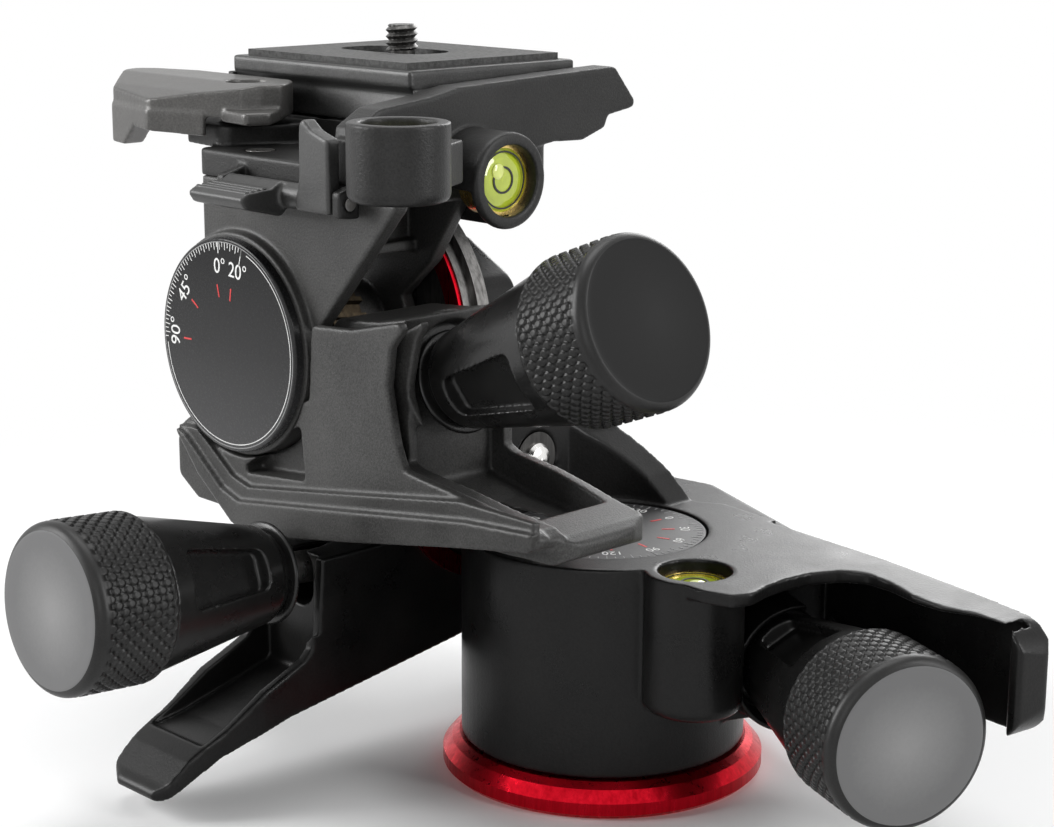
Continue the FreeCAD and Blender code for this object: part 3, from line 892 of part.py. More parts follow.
def clamp_body():
    floor_outline = [(-69, -39.6), (-69, -9), (-84, -2), (-88, 8), (-88, 26), (-60, 28), (-46, 28), (-26.5, 10), (-24, -12), (-20, -24), (-13, -30), (-12, -39.6)]
    floor = slab("xy", floor_outline, CLAMP_FLOOR, CLAMP_FLOOR + CLAMP_FLOOR_THICKNESS, 2.5)
    left_shelf = slab("xy", [(-88, 26), (-88, -8), (-80, -34), (-66, -36), (-60, -20), (-60, 26)], 112.2, 116.4, 3.0)
    bed = box(plate_x0 - 2, plate_x1 + 1, plate_y0 + 0.2, plate_y1 + 3.2, CLAMP_FLOOR + CLAMP_FLOOR_THICKNESS, JAW_TOP)
    far_jaw = slab("yz", [(plate_y1 - 2, CLAMP_FLOOR + 5), (plate_y1 + 4.6, CLAMP_FLOOR + 6.5), (plate_y1 + 4.6, JAW_TOP - 1.5), (plate_y1 + 3, JAW_TOP),
                          (plate_y1 - 2, JAW_TOP)], plate_x0 - 1, plate_x1 + 2)
    horn_outline = [(-37, 119.2), (-31.6, 122.3), (-19.1, 123.7), (-12.5, 125.0), (8.5, 125.8), (28.4, 126.5), (35.1, 118.5), (26.6, 117.2),
                    (25.7, 114.9), (19.6, 112.9), (12, 113.2), (-12, 110.0), (-34, 108.5), (-38, 112)]
    horn = slab("yz", horn_outline, plate_x1 + 1.2, plate_x1 + 7.2, 1.2)
    cup = up(LEVEL_RADIUS, FRONT_LEVEL_TOP - FRONT_LEVEL_HEIGHT, FRONT_LEVEL_TOP, FRONT_LEVEL_X, FRONT_LEVEL_Y)
    cup = soften(cup, 1.6, lambda e: e.BoundBox.ZMax < FRONT_LEVEL_TOP - 5)
    cup_arm = slab("xy", [(-30, -39.6), (-30, -24), (-12, -24), (-4, -40), (-9, -44)], FRONT_LEVEL_TOP - FRONT_LEVEL_HEIGHT + 0.8, 117.5, 1.5)
    side = rod(LEVEL_RADIUS, Vector(-34, SIDE_LEVEL_Y, SIDE_LEVEL_Z), Vector(SIDE_LEVEL_X, SIDE_LEVEL_Y, SIDE_LEVEL_Z))
    side = soften(side, 0.8, lambda e: e.BoundBox.XMin > SIDE_LEVEL_X - 1)
    ears = [slab("yz", [(-38, 104.0), (-44.8, 104.6), (-44.8, 109.2), (-38, 111.0)], low, low + EAR, 0.8) for low in (CATCH_LEFT - EAR_OUT, CATCH_RIGHT + LOOSE)]
    lever_post = up(5.2, 108.0, 117.0, LEVER_X, LEVER_Y)
    solid = join(floor, left_shelf, bed, far_jaw, horn, cup, cup_arm, side, lever_post, *ears)
    bracket_room = box(-80, -16, ROTOR_WALL_Y - 0.5, REAR_OUTER + 0.2, 90, CLAMP_FLOOR)
    channel = dovetail(LOOSE, clamp_bed, PLATE_TOP + 20)
    over_bed = box(plate_x0 - LOOSE, plate_x1 + LOOSE, plate_y0 - 12, plate_y0 + 6, clamp_bed, 140)
    cuts = [bracket_room, channel, over_bed, up(LEVEL_BORE, FRONT_LEVEL_TOP - LEVEL_VIAL_HEIGHT - LEVEL_RECESS, FRONT_LEVEL_TOP, FRONT_LEVEL_X, FRONT_LEVEL_Y),
            rod(LEVEL_BORE, Vector(SIDE_LEVEL_X - LEVEL_VIAL_HEIGHT - LEVEL_RECESS, SIDE_LEVEL_Y, SIDE_LEVEL_Z), Vector(SIDE_LEVEL_X, SIDE_LEVEL_Y, SIDE_LEVEL_Z)),
            up(LEVER_SCREW_RADIUS, 109, 130, LEVER_X, LEVER_Y), clamp_screw_set,
            rod(CATCH_PIN_RADIUS, Vector(CATCH_LEFT - EAR_OUT, CATCH_Y, CATCH_Z), Vector(CATCH_RIGHT + EAR_OUT, CATCH_Y, CATCH_Z))]
    for x, y in clamp_screws_at:
        cuts.append(up(2.9, CLAMP_FLOOR + CLAMP_FLOOR_THICKNESS - 0.01, clamp_bed + 0.1, x, y))
    for cutter in cuts:
        solid = solid.cut(cutter)
    return solid


save("clamp_body", clamp_body())
save("clamp_screws", clamp_screw_set)
level("front", Vector(FRONT_LEVEL_X, FRONT_LEVEL_Y, FRONT_LEVEL_TOP - LEVEL_VIAL_HEIGHT - LEVEL_RECESS), Z_AXIS)
level("side", Vector(SIDE_LEVEL_X - LEVEL_VIAL_HEIGHT - LEVEL_RECESS, SIDE_LEVEL_Y, SIDE_LEVEL_Z), X_AXIS)

# ---------------------------------------------------------------- quick plate, pad and camera screw
camera_axis = Vector(PLATE_X, PLATE_Y, 0)
SCREW_FLANGE_RADIUS = 6.4
SCREW_FLANGE = 2.2
screw_room_top = PLATE_TOP - 1.4
plate = dovetail(0, plate_bottom, PLATE_TOP)
plate = plate.cut(up(CAMERA_THREAD_RADIUS + 0.25, plate_bottom, PLATE_TOP, PLATE_X, PLATE_Y))
plate = plate.cut(up(SCREW_FLANGE_RADIUS + LOOSE, plate_bottom, screw_room_top, PLATE_X, PLATE_Y))
save("quick_plate", plate)
pad = box(PLATE_X - PAD_LENGTH / 2, PLATE_X + PAD_LENGTH / 2, PLATE_Y - PAD_WIDTH / 2, PLATE_Y + PAD_WIDTH / 2, PLATE_TOP, PLATE_TOP + PAD_THICKNESS)
pad = pad.cut(slab("xy", [(PLATE_X - 14.5, PLATE_Y - 6), (PLATE_X + 10, PLATE_Y - 6), (PLATE_X + 10, PLATE_Y + 6), (PLATE_X - 14.5, PLATE_Y + 6)],
                   PLATE_TOP, PLATE_TOP + PAD_THICKNESS, 5.0))
save("plate_pad", pad)
neck_top = PLATE_TOP + PAD_THICKNESS + 0.2
screw_profile = [(plate_bottom + 0.4, 0), (plate_bottom + 0.4, SCREW_FLANGE_RADIUS), (plate_bottom + 0.4 + SCREW_FLANGE, SCREW_FLANGE_RADIUS),
                 (plate_bottom + 0.4 + SCREW_FLANGE, CAMERA_SCREW_NECK), (neck_top, CAMERA_SCREW_NECK),
                 (neck_top, CAMERA_THREAD_RADIUS), (PLATE_TOP + CAMERA_SCREW_RISE - 0.5, CAMERA_THREAD_RADIUS),
                 (PLATE_TOP + CAMERA_SCREW_RISE, CAMERA_THREAD_RADIUS - 0.5), (PLATE_TOP + CAMERA_SCREW_RISE, 0)]
save("camera_screw", turned(screw_profile, camera_axis, Z_AXIS))

# ---------------------------------------------------------------- lever and safety catch
LEVER_LOW, LEVER_HIGH = 118.0, 124.2
LEVER_SCREW_HEAD = 2.8
LEVER_EYE_RADIUS = 4.1
LEVER_EYE_DEPTH = 4.4
lever_outline = [(-64.75, -19.7), (-62.2, -21.6), (-60.3, -23.9), (-58.8, -25.6), (-58, -27.4), (-59.4, -31), (-62, -34.5), (-68, -37.5), (-79, -43.2), (-95, -40), (-106, -29.5), (-107.6, -25.5), (-104, -22.6),
                 (-94, -19.6)]
lever_section = [(-15, LEVER_HIGH), (-31, LEVER_HIGH), (-38, 122.6), (-45, 120.4), (-45, LEVER_LOW), (-15, LEVER_LOW)]
lever = slab("xy", lever_outline, LEVER_LOW, LEVER_HIGH, 2.5).common(slab("yz", lever_section, -110, -50, 1.0))
skirt_plan = slab("xy", [(-66, -37.2), (-79, -43.6), (-95, -40.4), (-106, -29.5), (-108, -26), (-104.5, -24), (-98, -31), (-92, -36.2), (-80, -38.6), (-72, -37.4)],
                  110, LEVER_LOW + 1, 1.0)
skirt_front = slab("xz", [(-64, 114.2), (-66, LEVER_LOW + 1), (-109, LEVER_LOW + 1), (-109, 117), (-101, 111.6), (-90, 111.4), (-85, 115.4)], -50, -20, 0.8)
foot = slab("xy", [(-66, -36), (-56.5, -37.6), (-54.5, -33), (-60.5, -25), (-66, -26)], 117.2, 119.6, 1.0)
lever = join(lever, skirt_plan.common(skirt_front), foot).cut(up(LEVER_SCREW_RADIUS + RUNNING, 110, 130, LEVER_X, LEVER_Y))
lever = lever.cut(up(LEVER_EYE_RADIUS, LEVER_HIGH - LEVER_EYE_DEPTH, LEVER_HIGH, LEVER_X, LEVER_Y))
save("lock_lever", lever)
pivot_screw = join(up(LEVER_SCREW_RADIUS, 109.0, LEVER_HIGH - LEVER_EYE_DEPTH + RUNNING, LEVER_X, LEVER_Y),
                   up(LEVER_SCREW_HEAD, LEVER_HIGH - LEVER_EYE_DEPTH + RUNNING, LEVER_HIGH - 2.9, LEVER_X, LEVER_Y))
save("lever_pivot_screw", pivot_screw)
catch = slab("yz", [(-42.6, 109.4), (-42.6, 104.6), (-44, 103.2), (-52, 105.2), (-53.2, 107), (-51.5, 108), (-46, 108.4), (-44, 109.6)], CATCH_LEFT, -38, 0.6)
blade = slab("xz", [(-33, 105), (-31.8, 111), (-31.6, 120.2), (-30.4, 121.3), (-28, 119.4), (-23.6, 118.0), (-23.6, 105)], -45.2, -42.4, 0.5)
barrel = rod(CATCH_BARREL_RADIUS, Vector(CATCH_LEFT, CATCH_Y, CATCH_Z), Vector(CATCH_RIGHT, CATCH_Y, CATCH_Z))
catch_hole = rod(CATCH_PIN_RADIUS + RUNNING, Vector(CATCH_LEFT - 1, CATCH_Y, CATCH_Z), Vector(CATCH_RIGHT + 1, CATCH_Y, CATCH_Z))
save("safety_catch", join(catch, blade, barrel).cut(catch_hole))
save("catch_pin", rod(CATCH_PIN_RADIUS, Vector(CATCH_LEFT - EAR_OUT, CATCH_Y, CATCH_Z), Vector(CATCH_RIGHT + EAR_OUT, CATCH_Y, CATCH_Z)))
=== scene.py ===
import json
import math

import bpy
from mathutils import Matrix, Vector


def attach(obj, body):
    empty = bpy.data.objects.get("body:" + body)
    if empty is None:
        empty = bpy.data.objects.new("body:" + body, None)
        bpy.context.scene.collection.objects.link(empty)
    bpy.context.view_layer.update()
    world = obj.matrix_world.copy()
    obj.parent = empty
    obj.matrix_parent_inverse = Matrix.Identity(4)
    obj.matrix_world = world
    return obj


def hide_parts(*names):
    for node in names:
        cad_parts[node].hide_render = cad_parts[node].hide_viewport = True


# Looks of a geared tripod head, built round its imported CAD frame.
# Blender works in metres; sizes in millimetres are multiplied by MM.

MM = 0.001
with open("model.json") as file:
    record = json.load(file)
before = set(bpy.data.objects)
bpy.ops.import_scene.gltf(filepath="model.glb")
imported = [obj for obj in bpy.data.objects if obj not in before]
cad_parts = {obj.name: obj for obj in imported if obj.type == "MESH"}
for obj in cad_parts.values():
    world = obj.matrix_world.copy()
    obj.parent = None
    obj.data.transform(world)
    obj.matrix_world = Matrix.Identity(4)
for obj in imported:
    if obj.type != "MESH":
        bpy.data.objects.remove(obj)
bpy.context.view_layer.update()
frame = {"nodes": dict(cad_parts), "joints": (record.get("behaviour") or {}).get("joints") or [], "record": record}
scene = bpy.context.scene
scene.view_settings.view_transform = "Standard"
joints = {joint["name"]: joint for joint in frame["joints"]}
body_of = {}
for body, members in frame["record"]["behaviour"]["bodies"].items():
    for member in members:
        body_of[member] = body


# ---------------------------------------------------------------- camera
# Place and directions of the view that the object is shown from, in the row frame.
CAMERA_AT = Vector((278.7, -293.7, 162.8)) * MM
CAMERA_FORWARD = Vector((-0.694, 0.681, -0.231)).normalized()
CAMERA_RIGHT = Vector((0.700, 0.714, 0.004)).normalized()
FOCAL_PIXELS = 2277.7
IMAGE_WIDTH = 1054           # pixels that the focal length is counted in
SENSOR_WIDTH = 36.0          # the lens is given in the same millimetres
CLIP_START = 0.01            # metres


def add_camera():
    data = bpy.data.cameras.new("camera")
    data.sensor_fit = "HORIZONTAL"
    data.sensor_width = SENSOR_WIDTH
    data.lens = FOCAL_PIXELS / IMAGE_WIDTH * SENSOR_WIDTH
    data.clip_start = CLIP_START
    camera = bpy.data.objects.new("camera", data)
    scene.collection.objects.link(camera)
    back = -CAMERA_FORWARD
    above = back.cross(CAMERA_RIGHT).normalized()
    right = above.cross(back)
    turn = Matrix((right, above, back)).transposed().to_4x4()
    camera.matrix_world = Matrix.Translation(CAMERA_AT) @ turn
    scene.camera = camera


add_camera()


# ---------------------------------------------------------------- material helpers
NOISE_LOW, NOISE_HIGH = 0.3, 0.7     # range of a noise that a look is spread over
GRAIN_SHARE, PATCH_SHARE = 0.55, 0.45    # of fine and broad noise in a cast surface's tone
TONE_LOW, TONE_HIGH = 0.32, 0.68
SHARE = "share"              # vertex attribute: distance from a knob's axis as a share of its radius


def grey(level):
    return (level, level, level)


def new_material(name):
    made = bpy.data.materials.new(name)
    made.use_nodes = True
    nodes, links = made.node_tree.nodes, made.node_tree.links
    return made, nodes, links, nodes["Principled BSDF"]


def maths(nodes, links, operation, *sources):
    """Output of a math node that is fed by sockets and plain numbers."""
    made = nodes.new("ShaderNodeMath")
    made.operation = operation
    for place, source in zip(made.inputs, sources):
        if isinstance(source, float):
            place.default_value = source
        else:
            links.new(source, place)
    return made.outputs[0]


def ramp(nodes, links, source, stops):
    """Colour ramp fed by a socket; stops are (position, colour)."""
    made = nodes.new("ShaderNodeValToRGB")
    elements = made.color_ramp.elements
    while len(elements) < len(stops):
        elements.new(0.5)
    for element, (position, colour) in zip(elements, stops):
        element.position = position
        element.color = (*colour, 1)
    links.new(source, made.inputs["Fac"])
    return made.outputs["Color"]


def noise_ramp(nodes, links, noise, low, high):
    """Colour that follows a noise over its usual range."""
    return ramp(nodes, links, noise, [(NOISE_LOW, low), (NOISE_HIGH, high)])


def noise_at(nodes, links, scale, detail=4.0, roughness=0.6, stretch=(1, 1, 1)):
    coords = nodes.new("ShaderNodeTexCoord")
    mapping = nodes.new("ShaderNodeMapping")
    mapping.inputs["Scale"].default_value = stretch
    links.new(coords.outputs["Object"], mapping.inputs["Vector"])
    made = nodes.new("ShaderNodeTexNoise")
    made.inputs["Scale"].default_value = scale
    made.inputs["Detail"].default_value = detail
    made.inputs["Roughness"].default_value = roughness
    links.new(mapping.outputs["Vector"], made.inputs["Vector"])
    return made.outputs["Fac"]


def add_bump(nodes, links, shader, height, strength, distance):
    bump = nodes.new("ShaderNodeBump")
    bump.inputs["Strength"].default_value = strength
    bump.inputs["Distance"].default_value = distance
    links.new(height, bump.inputs["Height"])
    links.new(bump.outputs["Normal"], shader.inputs["Normal"])


def grained(name, dark, light, rough, grain, bump, patch, metallic=0.0, specular=0.5):
    """Cast or moulded surface: a fine grain, faint large patches and a roughness that follows them."""
    made, nodes, links, shader = new_material(name)
    fine = noise_at(nodes, links, grain, 3.0, 0.65)
    broad = noise_at(nodes, links, patch, 5.0, 0.6)
    patches = maths(nodes, links, "MULTIPLY", broad, PATCH_SHARE)
    tone = maths(nodes, links, "MULTIPLY_ADD", fine, GRAIN_SHARE, patches)
    links.new(ramp(nodes, links, tone, [(TONE_LOW, dark), (TONE_HIGH, light)]), shader.inputs["Base Color"])
    low, high = rough
    links.new(noise_ramp(nodes, links, broad, grey(low), grey(high)), shader.inputs["Roughness"])
    shader.inputs["Metallic"].default_value = metallic
    shader.inputs["Specular IOR Level"].default_value = specular
    add_bump(nodes, links, shader, fine, bump, 0.12 * MM)
    return made


def turned_metal(name, colour, edge, rough):
    """Machined metal: streaks, with small scratches in colour and roughness."""
    made, nodes, links, shader = new_material(name)
    streaks = noise_at(nodes, links, 900, 3.0, 0.7, (1.0, 1.0, 0.12))
    links.new(noise_ramp(nodes, links, streaks, edge, colour), shader.inputs["Base Color"])
    links.new(noise_ramp(nodes, links, streaks, grey(rough + 0.16), grey(rough)), shader.inputs["Roughness"])
    shader.inputs["Metallic"].default_value = 1.0
    add_bump(nodes, links, shader, streaks, 0.15, 0.06 * MM)
    return made


def liquid(name, colour):
    """Liquid of a bubble level, under a clear coat, with a faint painted glow."""
    made, nodes, links, shader = new_material(name)
    tint = noise_at(nodes, links, 250, 2.0)
    paler = tuple(min(1.0, c * 1.25) for c in colour)
    links.new(noise_ramp(nodes, links, tint, colour, paler), shader.inputs["Base Color"])
    shader.inputs["Roughness"].default_value = 0.06
    shader.inputs["Coat Weight"].default_value = 1.0
    shader.inputs["Coat Roughness"].default_value = 0.03
    # Painted glow: the liquid emits a little light of its own colour.
    shader.inputs["Emission Strength"].default_value = 0.04
    shader.inputs["Emission Color"].default_value = (*colour, 1)
    return made


def painted_reflection_dial(name, low, high, dark, light):
    """Gloss black disc with a painted reflection that grows lighter downwards: dark at the height high, light at
    the height low.
    """
    made, nodes, links, shader = new_material(name)
    coords = nodes.new("ShaderNodeTexCoord")
    split = nodes.new("ShaderNodeSeparateXYZ")
    links.new(coords.outputs["Object"], split.inputs[0])
    spread = nodes.new("ShaderNodeMapRange")
    spread.inputs["From Min"].default_value = low
    spread.inputs["From Max"].default_value = high
    links.new(split.outputs["Z"], spread.inputs["Value"])
    fine = noise_at(nodes, links, 2600, 3.0)
    shade = maths(nodes, links, "MULTIPLY_ADD", fine, 0.03, spread.outputs[0])
    between = tuple((a + b) / 2.6 for a, b in zip(dark, light))
    stops = [(0.04, light), (0.5, between), (0.95, dark)]
    links.new(ramp(nodes, links, shade, stops), shader.inputs["Base Color"])
    links.new(noise_ramp(nodes, links, fine, grey(0.22), grey(0.3)), shader.inputs["Roughness"])
    shader.inputs["Specular IOR Level"].default_value = 0.2
    add_bump(nodes, links, shader, fine, 0.01, 0.02 * MM)
    return made


def knob_face(name, edge, centre, rough):
    """Satin end of a knob with a painted highlight: its tone follows the distance from the middle and is lighter
    towards it.
    """
    made, nodes, links, shader = new_material(name)
    share = nodes.new("ShaderNodeAttribute")
    share.attribute_name = SHARE
    fine = noise_at(nodes, links, 1400, 4.0, 0.7)
    cloud = noise_at(nodes, links, 55, 3.0)
    clouded = maths(nodes, links, "MULTIPLY_ADD", cloud, 0.25, share.outputs["Fac"])
    tone = maths(nodes, links, "MULTIPLY_ADD", fine, 0.22, clouded)
    links.new(ramp(nodes, links, tone, [(0.25, centre), (0.96, edge)]), shader.inputs["Base Color"])
    links.new(noise_ramp(nodes, links, cloud, grey(rough), grey(rough + 0.1)), shader.inputs["Roughness"])
    shader.inputs["Specular IOR Level"].default_value = 0.14
    add_bump(nodes, links, shader, fine, 0.12, 0.08 * MM)
    return made


# ---------------------------------------------------------------- materials
graphite = grained(
    "graphite_casting", dark=(0.010, 0.0099, 0.0097), light=(0.070, 0.069, 0.067),
    rough=(0.36, 0.46), grain=2600, bump=0.5, patch=40, specular=0.30)
clamp_black = grained(
    "clamp_casting", dark=grey(0.004), light=(0.026, 0.0256, 0.025),
    rough=(0.34, 0.44), grain=2400, bump=0.5, patch=50, specular=0.24)
black_cast = grained(
    "black_casting", dark=(0.0025, 0.0025, 0.0026), light=(0.011, 0.0107, 0.0104),
    rough=(0.25, 0.38), grain=2200, bump=0.3, patch=70, specular=0.20)
knob_black = grained(
    "knob_black", dark=grey(0.005), light=(0.012, 0.0117, 0.0114),
    rough=(0.24, 0.32), grain=3500, bump=0.12, patch=90, specular=0.32)
rubber = grained(
    "knob_rubber", dark=grey(0.005), light=(0.017, 0.0167, 0.0163),
    rough=(0.34, 0.44), grain=3800, bump=0.15, patch=120, specular=0.26)
# The light and the dark knob face are lit and shaded copies of one end: painted light and painted shade.
face_painted_lit = knob_face("knob_face_painted_lit", (0.145, 0.145, 0.146), (0.240, 0.239, 0.238), 0.42)
face_painted_shade = knob_face("knob_face_painted_shade", grey(0.005), grey(0.010), 0.4)
lever_grey = grained(
    "lever_grey", dark=(0.038, 0.037, 0.036), light=(0.110, 0.107, 0.102),
    rough=(0.32, 0.42), grain=2800, bump=0.3, patch=60, metallic=0.3)
catch_black = grained(
    "catch_black", dark=grey(0.010), light=(0.035, 0.035, 0.034),
    rough=(0.35, 0.5), grain=2600, bump=0.3, patch=90)
plate_grey = grained(
    "plate_grey", dark=grey(0.014), light=(0.055, 0.055, 0.054),
    rough=(0.3, 0.42), grain=2600, bump=0.3, patch=70, metallic=0.3)
pad_grey = grained(
    "pad_grey", dark=grey(0.012), light=(0.115, 0.115, 0.113),
    rough=(0.6, 0.8), grain=1100, bump=1.0, patch=160, specular=0.3)
bush_white = grained(
    "bush_plastic", dark=(0.35, 0.35, 0.33), light=(0.55, 0.55, 0.52),
    rough=(0.35, 0.5), grain=2000, bump=0.15, patch=90)
red_metal = turned_metal("red_anodised", (0.66, 0.008, 0.022), (0.40, 0.003, 0.010), 0.24)
steel = turned_metal("turned_steel", (0.62, 0.61, 0.59), (0.32, 0.31, 0.30), 0.25)
black_steel = turned_metal("black_steel", (0.10, 0.098, 0.095), (0.04, 0.039, 0.038), 0.3)
dark_steel = turned_metal("worn_steel", (0.22, 0.215, 0.21), (0.07, 0.068, 0.066), 0.34)
brass = turned_metal("cut_brass", (0.62, 0.43, 0.16), (0.36, 0.23, 0.07), 0.3)
dark_brass = turned_metal("greased_brass", (0.07, 0.055, 0.035), (0.03, 0.024, 0.018), 0.45)
gold = turned_metal("gold_ring", (0.80, 0.60, 0.22), (0.55, 0.38, 0.12), 0.18)
chrome = turned_metal("polished_head", (0.86, 0.85, 0.83), (0.7, 0.69, 0.67), 0.12)
# The front dial's lighter lower part is a painted reflection.
front_dial_black = painted_reflection_dial(
    "front_dial_black", 57.5 * MM, 97.5 * MM, dark=(0.006, 0.006, 0.0065), light=(0.060, 0.060, 0.061))
pan_dial_black = grained(
    "pan_dial_grey", dark=(0.030, 0.030, 0.031), light=(0.055, 0.055, 0.056),
    rough=(0.3, 0.4), grain=1800, bump=0.06, patch=60, specular=0.35)
vial_green = liquid("vial_green", (0.44, 0.53, 0.035))
bubble_green = liquid("vial_bubble", (0.66, 0.74, 0.18))


def ink(name, dark, light, rough=(0.45, 0.55)):
    """Look of a printed mark."""
    return grained(name, dark, light, rough, grain=2500, bump=0.05, patch=200)


mark_white = ink("mark_white", (0.70, 0.70, 0.69), (0.82, 0.82, 0.81))
mark_grey = ink("mark_grey", grey(0.20), grey(0.30))
mark_red = ink("mark_red", (0.55, 0.02, 0.02), (0.68, 0.03, 0.03))
mark_black = ink("mark_black", grey(0.004), grey(0.012), (0.3, 0.4))


def of_stages(*endings):
    """Names of the nodes that each of the three stages has one of."""
    return [f"{stage}_{ending}" for ending in endings for stage in ("pan", "lateral", "front")]


def of_levels(ending):
    return [f"{level}_level_{ending}" for level in ("pan", "front", "side")]


CAD_LOOKS = {
    red_metal: ["base_disc", "lateral_friction_ring", "front_friction_ring"],
    steel: ["base_screws", "tripod_thread_insert", "pan_column", "pan_retaining_nut",
            "lateral_stage_screws", "front_axle", "clamp_screws", "catch_pin", "camera_screw",
            *of_stages("worm", "pivot_pin", "release_spring")],
    black_steel: ["lateral_axle", "lever_pivot_screw"],
    dark_steel: ["front_ring_plate"],
    chrome: ["lateral_axle_bolt"],
    dark_brass: ["front_wheel"],
    brass: ["pan_wheel", "lateral_wheel", *of_stages("worm_bushes")],
    gold: of_levels("ring"),
    bush_white: ["pan_column_bushes", "lateral_axle_bushes", "front_axle_bushes"],
    black_cast: ["pan_housing", "lateral_housing", *of_stages("carrier")],
    graphite: ["tilt_housing", "tilt_bracket"],
    clamp_black: ["clamp_body"],
    knob_black: of_stages("knob"),
    rubber: of_stages("knob_grip"),
    pan_dial_black: ["pan_dial"],
    front_dial_black: ["front_dial"],
    lever_grey: ["lock_lever"],
    catch_black: ["safety_catch"],
    plate_grey: ["quick_plate"],
    pad_grey: ["plate_pad"],
    vial_green: of_levels("vial"),
}


def paint(target, made):
    target.data.materials.clear()
    target.data.materials.append(made)


for look, names in CAD_LOOKS.items():
    for node_name in names:
        paint(frame["nodes"][node_name], look)


# ---------------------------------------------------------------- mesh helpers
def add_object(name, data, made=None):
    made_object = bpy.data.objects.new(name, data)
    scene.collection.objects.link(made_object)
    if made:
        paint(made_object, made)
    return made_object


def evaluated_mesh(target):
    """New mesh with what an object's modifiers or its text make."""
    bpy.context.view_layer.update()
    seen = target.evaluated_get(bpy.context.evaluated_depsgraph_get())
    return bpy.data.meshes.new_from_object(seen)


def new_mesh(name, points, faces, matrix):
    mesh = bpy.data.meshes.new(name)
    mesh.from_pydata(points, [], faces)
    mesh.transform(matrix)
    mesh.update()
    return mesh


def ring_points(radius, height, steps):
    """Points of a ring about Z."""
    angles = (2 * math.pi * step / steps for step in range(steps))
    return [(radius * math.cos(angle), radius * math.sin(angle), height) for angle in angles]


def ring_faces(rows, steps, closed=False):
    """Faces of a stack of rings: an open stack has two flat ends, a closed one runs round to its start."""
    faces = []
    for row in range(rows if closed else rows - 1):
        lower, upper = row * steps, (row + 1) % rows * steps
        for step in range(steps):
            following = (step + 1) % steps
            faces.append((lower + step, lower + following, upper + following, upper + step))
    if not closed:
        faces.append(tuple(range((rows - 1) * steps, rows * steps)))
        faces.append(tuple(reversed(range(steps))))
    return faces


def smooth(target, angle=None):
    for face in target.data.polygons:
        face.use_smooth = True
    if angle is not None:
        target.data.set_sharp_from_angle(angle=math.radians(angle))


def finish_piece(piece, node_name, made):
    """Give a piece its look and its body, and let it stand for a CAD node."""
    paint(piece, made)
    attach(piece, body_of[node_name])
    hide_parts(node_name)


def lathe(name, profile, matrix, made, body, steps=96, closed=False):
    """Turned piece about a frame's Z: profile points are (radius, height)."""
    points = [point for radius, height in profile for point in ring_points(radius, height, steps)]
    piece = add_object(name, new_mesh(name, points, ring_faces(len(profile), steps, closed), matrix), made)
    smooth(piece, 40)
    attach(piece, body)


def span(node_name, axis):
    """Lowest and highest place of a node along X, Y or Z."""
    places = [v.co[axis] for v in frame["nodes"][node_name].data.vertices]
    return min(places), max(places)


# ---------------------------------------------------------------- castings
VOXEL = 0.31 * MM
SOFTEN_ROUNDS = 9


def cast(node_name, made):
    """A CAD node with the soft edges of a casting: remeshed finely, then evened out."""
    source = frame["nodes"][node_name]
    piece = add_object(f"{node_name}_cast", source.data.copy())
    remesh = piece.modifiers.new("remesh", "REMESH")
    remesh.mode = "VOXEL"
    remesh.voxel_size = VOXEL
    soften = piece.modifiers.new("soften", "SMOOTH")
    soften.factor = 0.5
    soften.iterations = SOFTEN_ROUNDS
    mesh = evaluated_mesh(piece)
    piece.modifiers.clear()
    piece.data = mesh
    smooth(piece)
    finish_piece(piece, node_name, made)


CASTINGS = {
    graphite: ["tilt_housing", "tilt_bracket"],
    clamp_black: ["clamp_body"],
    black_cast: ["pan_housing", "lateral_housing"],
    knob_black: of_stages("knob"),
    lever_grey: ["lock_lever"],
    catch_black: ["safety_catch"],
    plate_grey: ["quick_plate"],
}
for look, names in CASTINGS.items():
    for node_name in names:
        cast(node_name, look)


# ---------------------------------------------------------------- knobs
KNURL_AROUND = 38            # ovals in one ring
KNURL_RING_PITCH = 1.28 * MM
KNURL_STEP = 0.16 * MM       # mesh step on the knurled band
KNURL_DEPTH = 0.42 * MM
OVAL_ALONG = 1.00 * MM
OVAL_ACROSS = 0.92 * MM
OVAL_LEAN = 0.10             # how much longer an oval is towards the face
OVAL_TOP = 0.62              # share of an oval that is flat
OVAL_SIDE = 0.34             # share over which it falls away
BAND_FADE = 0.4 * MM         # length over which the knurl dies out at each end of the band
BAND_END_DEPTH = 0.12 * MM
BAND_TO_RIM = 0.5 * MM
CAP_LIP = 0.6 * MM           # from the back of a cap to its band
CAP_RIM = 1.9 * MM           # radius of the rounding round the face
CAP_RIM_STEPS = 12
CAP_BACK = ((0.25, 1.4), (0.0, 0.9), (0.05, 0.5), (0.25, 0.32))     # mm from the back, mm below the radius
FACE_SHARES = (0.92, 0.8, 0.65, 0.5, 0.35, 0.2, 0.1)     # radii of the face's rings
FACE_DISH = 0.45 * MM
FACE_LOOK_ROWS = 3           # rings of the rounding that have the face's look
FLANGE = ((7.5, 0.1), (9.1, 0.1), (9.4, 0.3), (9.5, 0.6),
          (9.4, 0.9), (9.1, 1.1), (7.5, 1.1))     # radius and height over a knob's back, mm


def spin_frame(joint_name):
    """Matrix with its origin on a knob's axis and Z out along it."""
    joint = joints[joint_name]
    along = Vector(joint["axis"]).normalized()
    turn = Vector((0, 0, 1)).rotation_difference(along).to_matrix().to_4x4()
    return Matrix.Translation(Vector(joint["pos_m"])) @ turn


def reach(node_name, matrix):
    """Lowest and highest place of a node along a frame's Z, and its largest radius."""
    inverse = matrix.inverted()
    points = [inverse @ v.co for v in frame["nodes"][node_name].data.vertices]
    heights = [p.z for p in points]
    return min(heights), max(heights), max(math.hypot(p.x, p.y) for p in points)


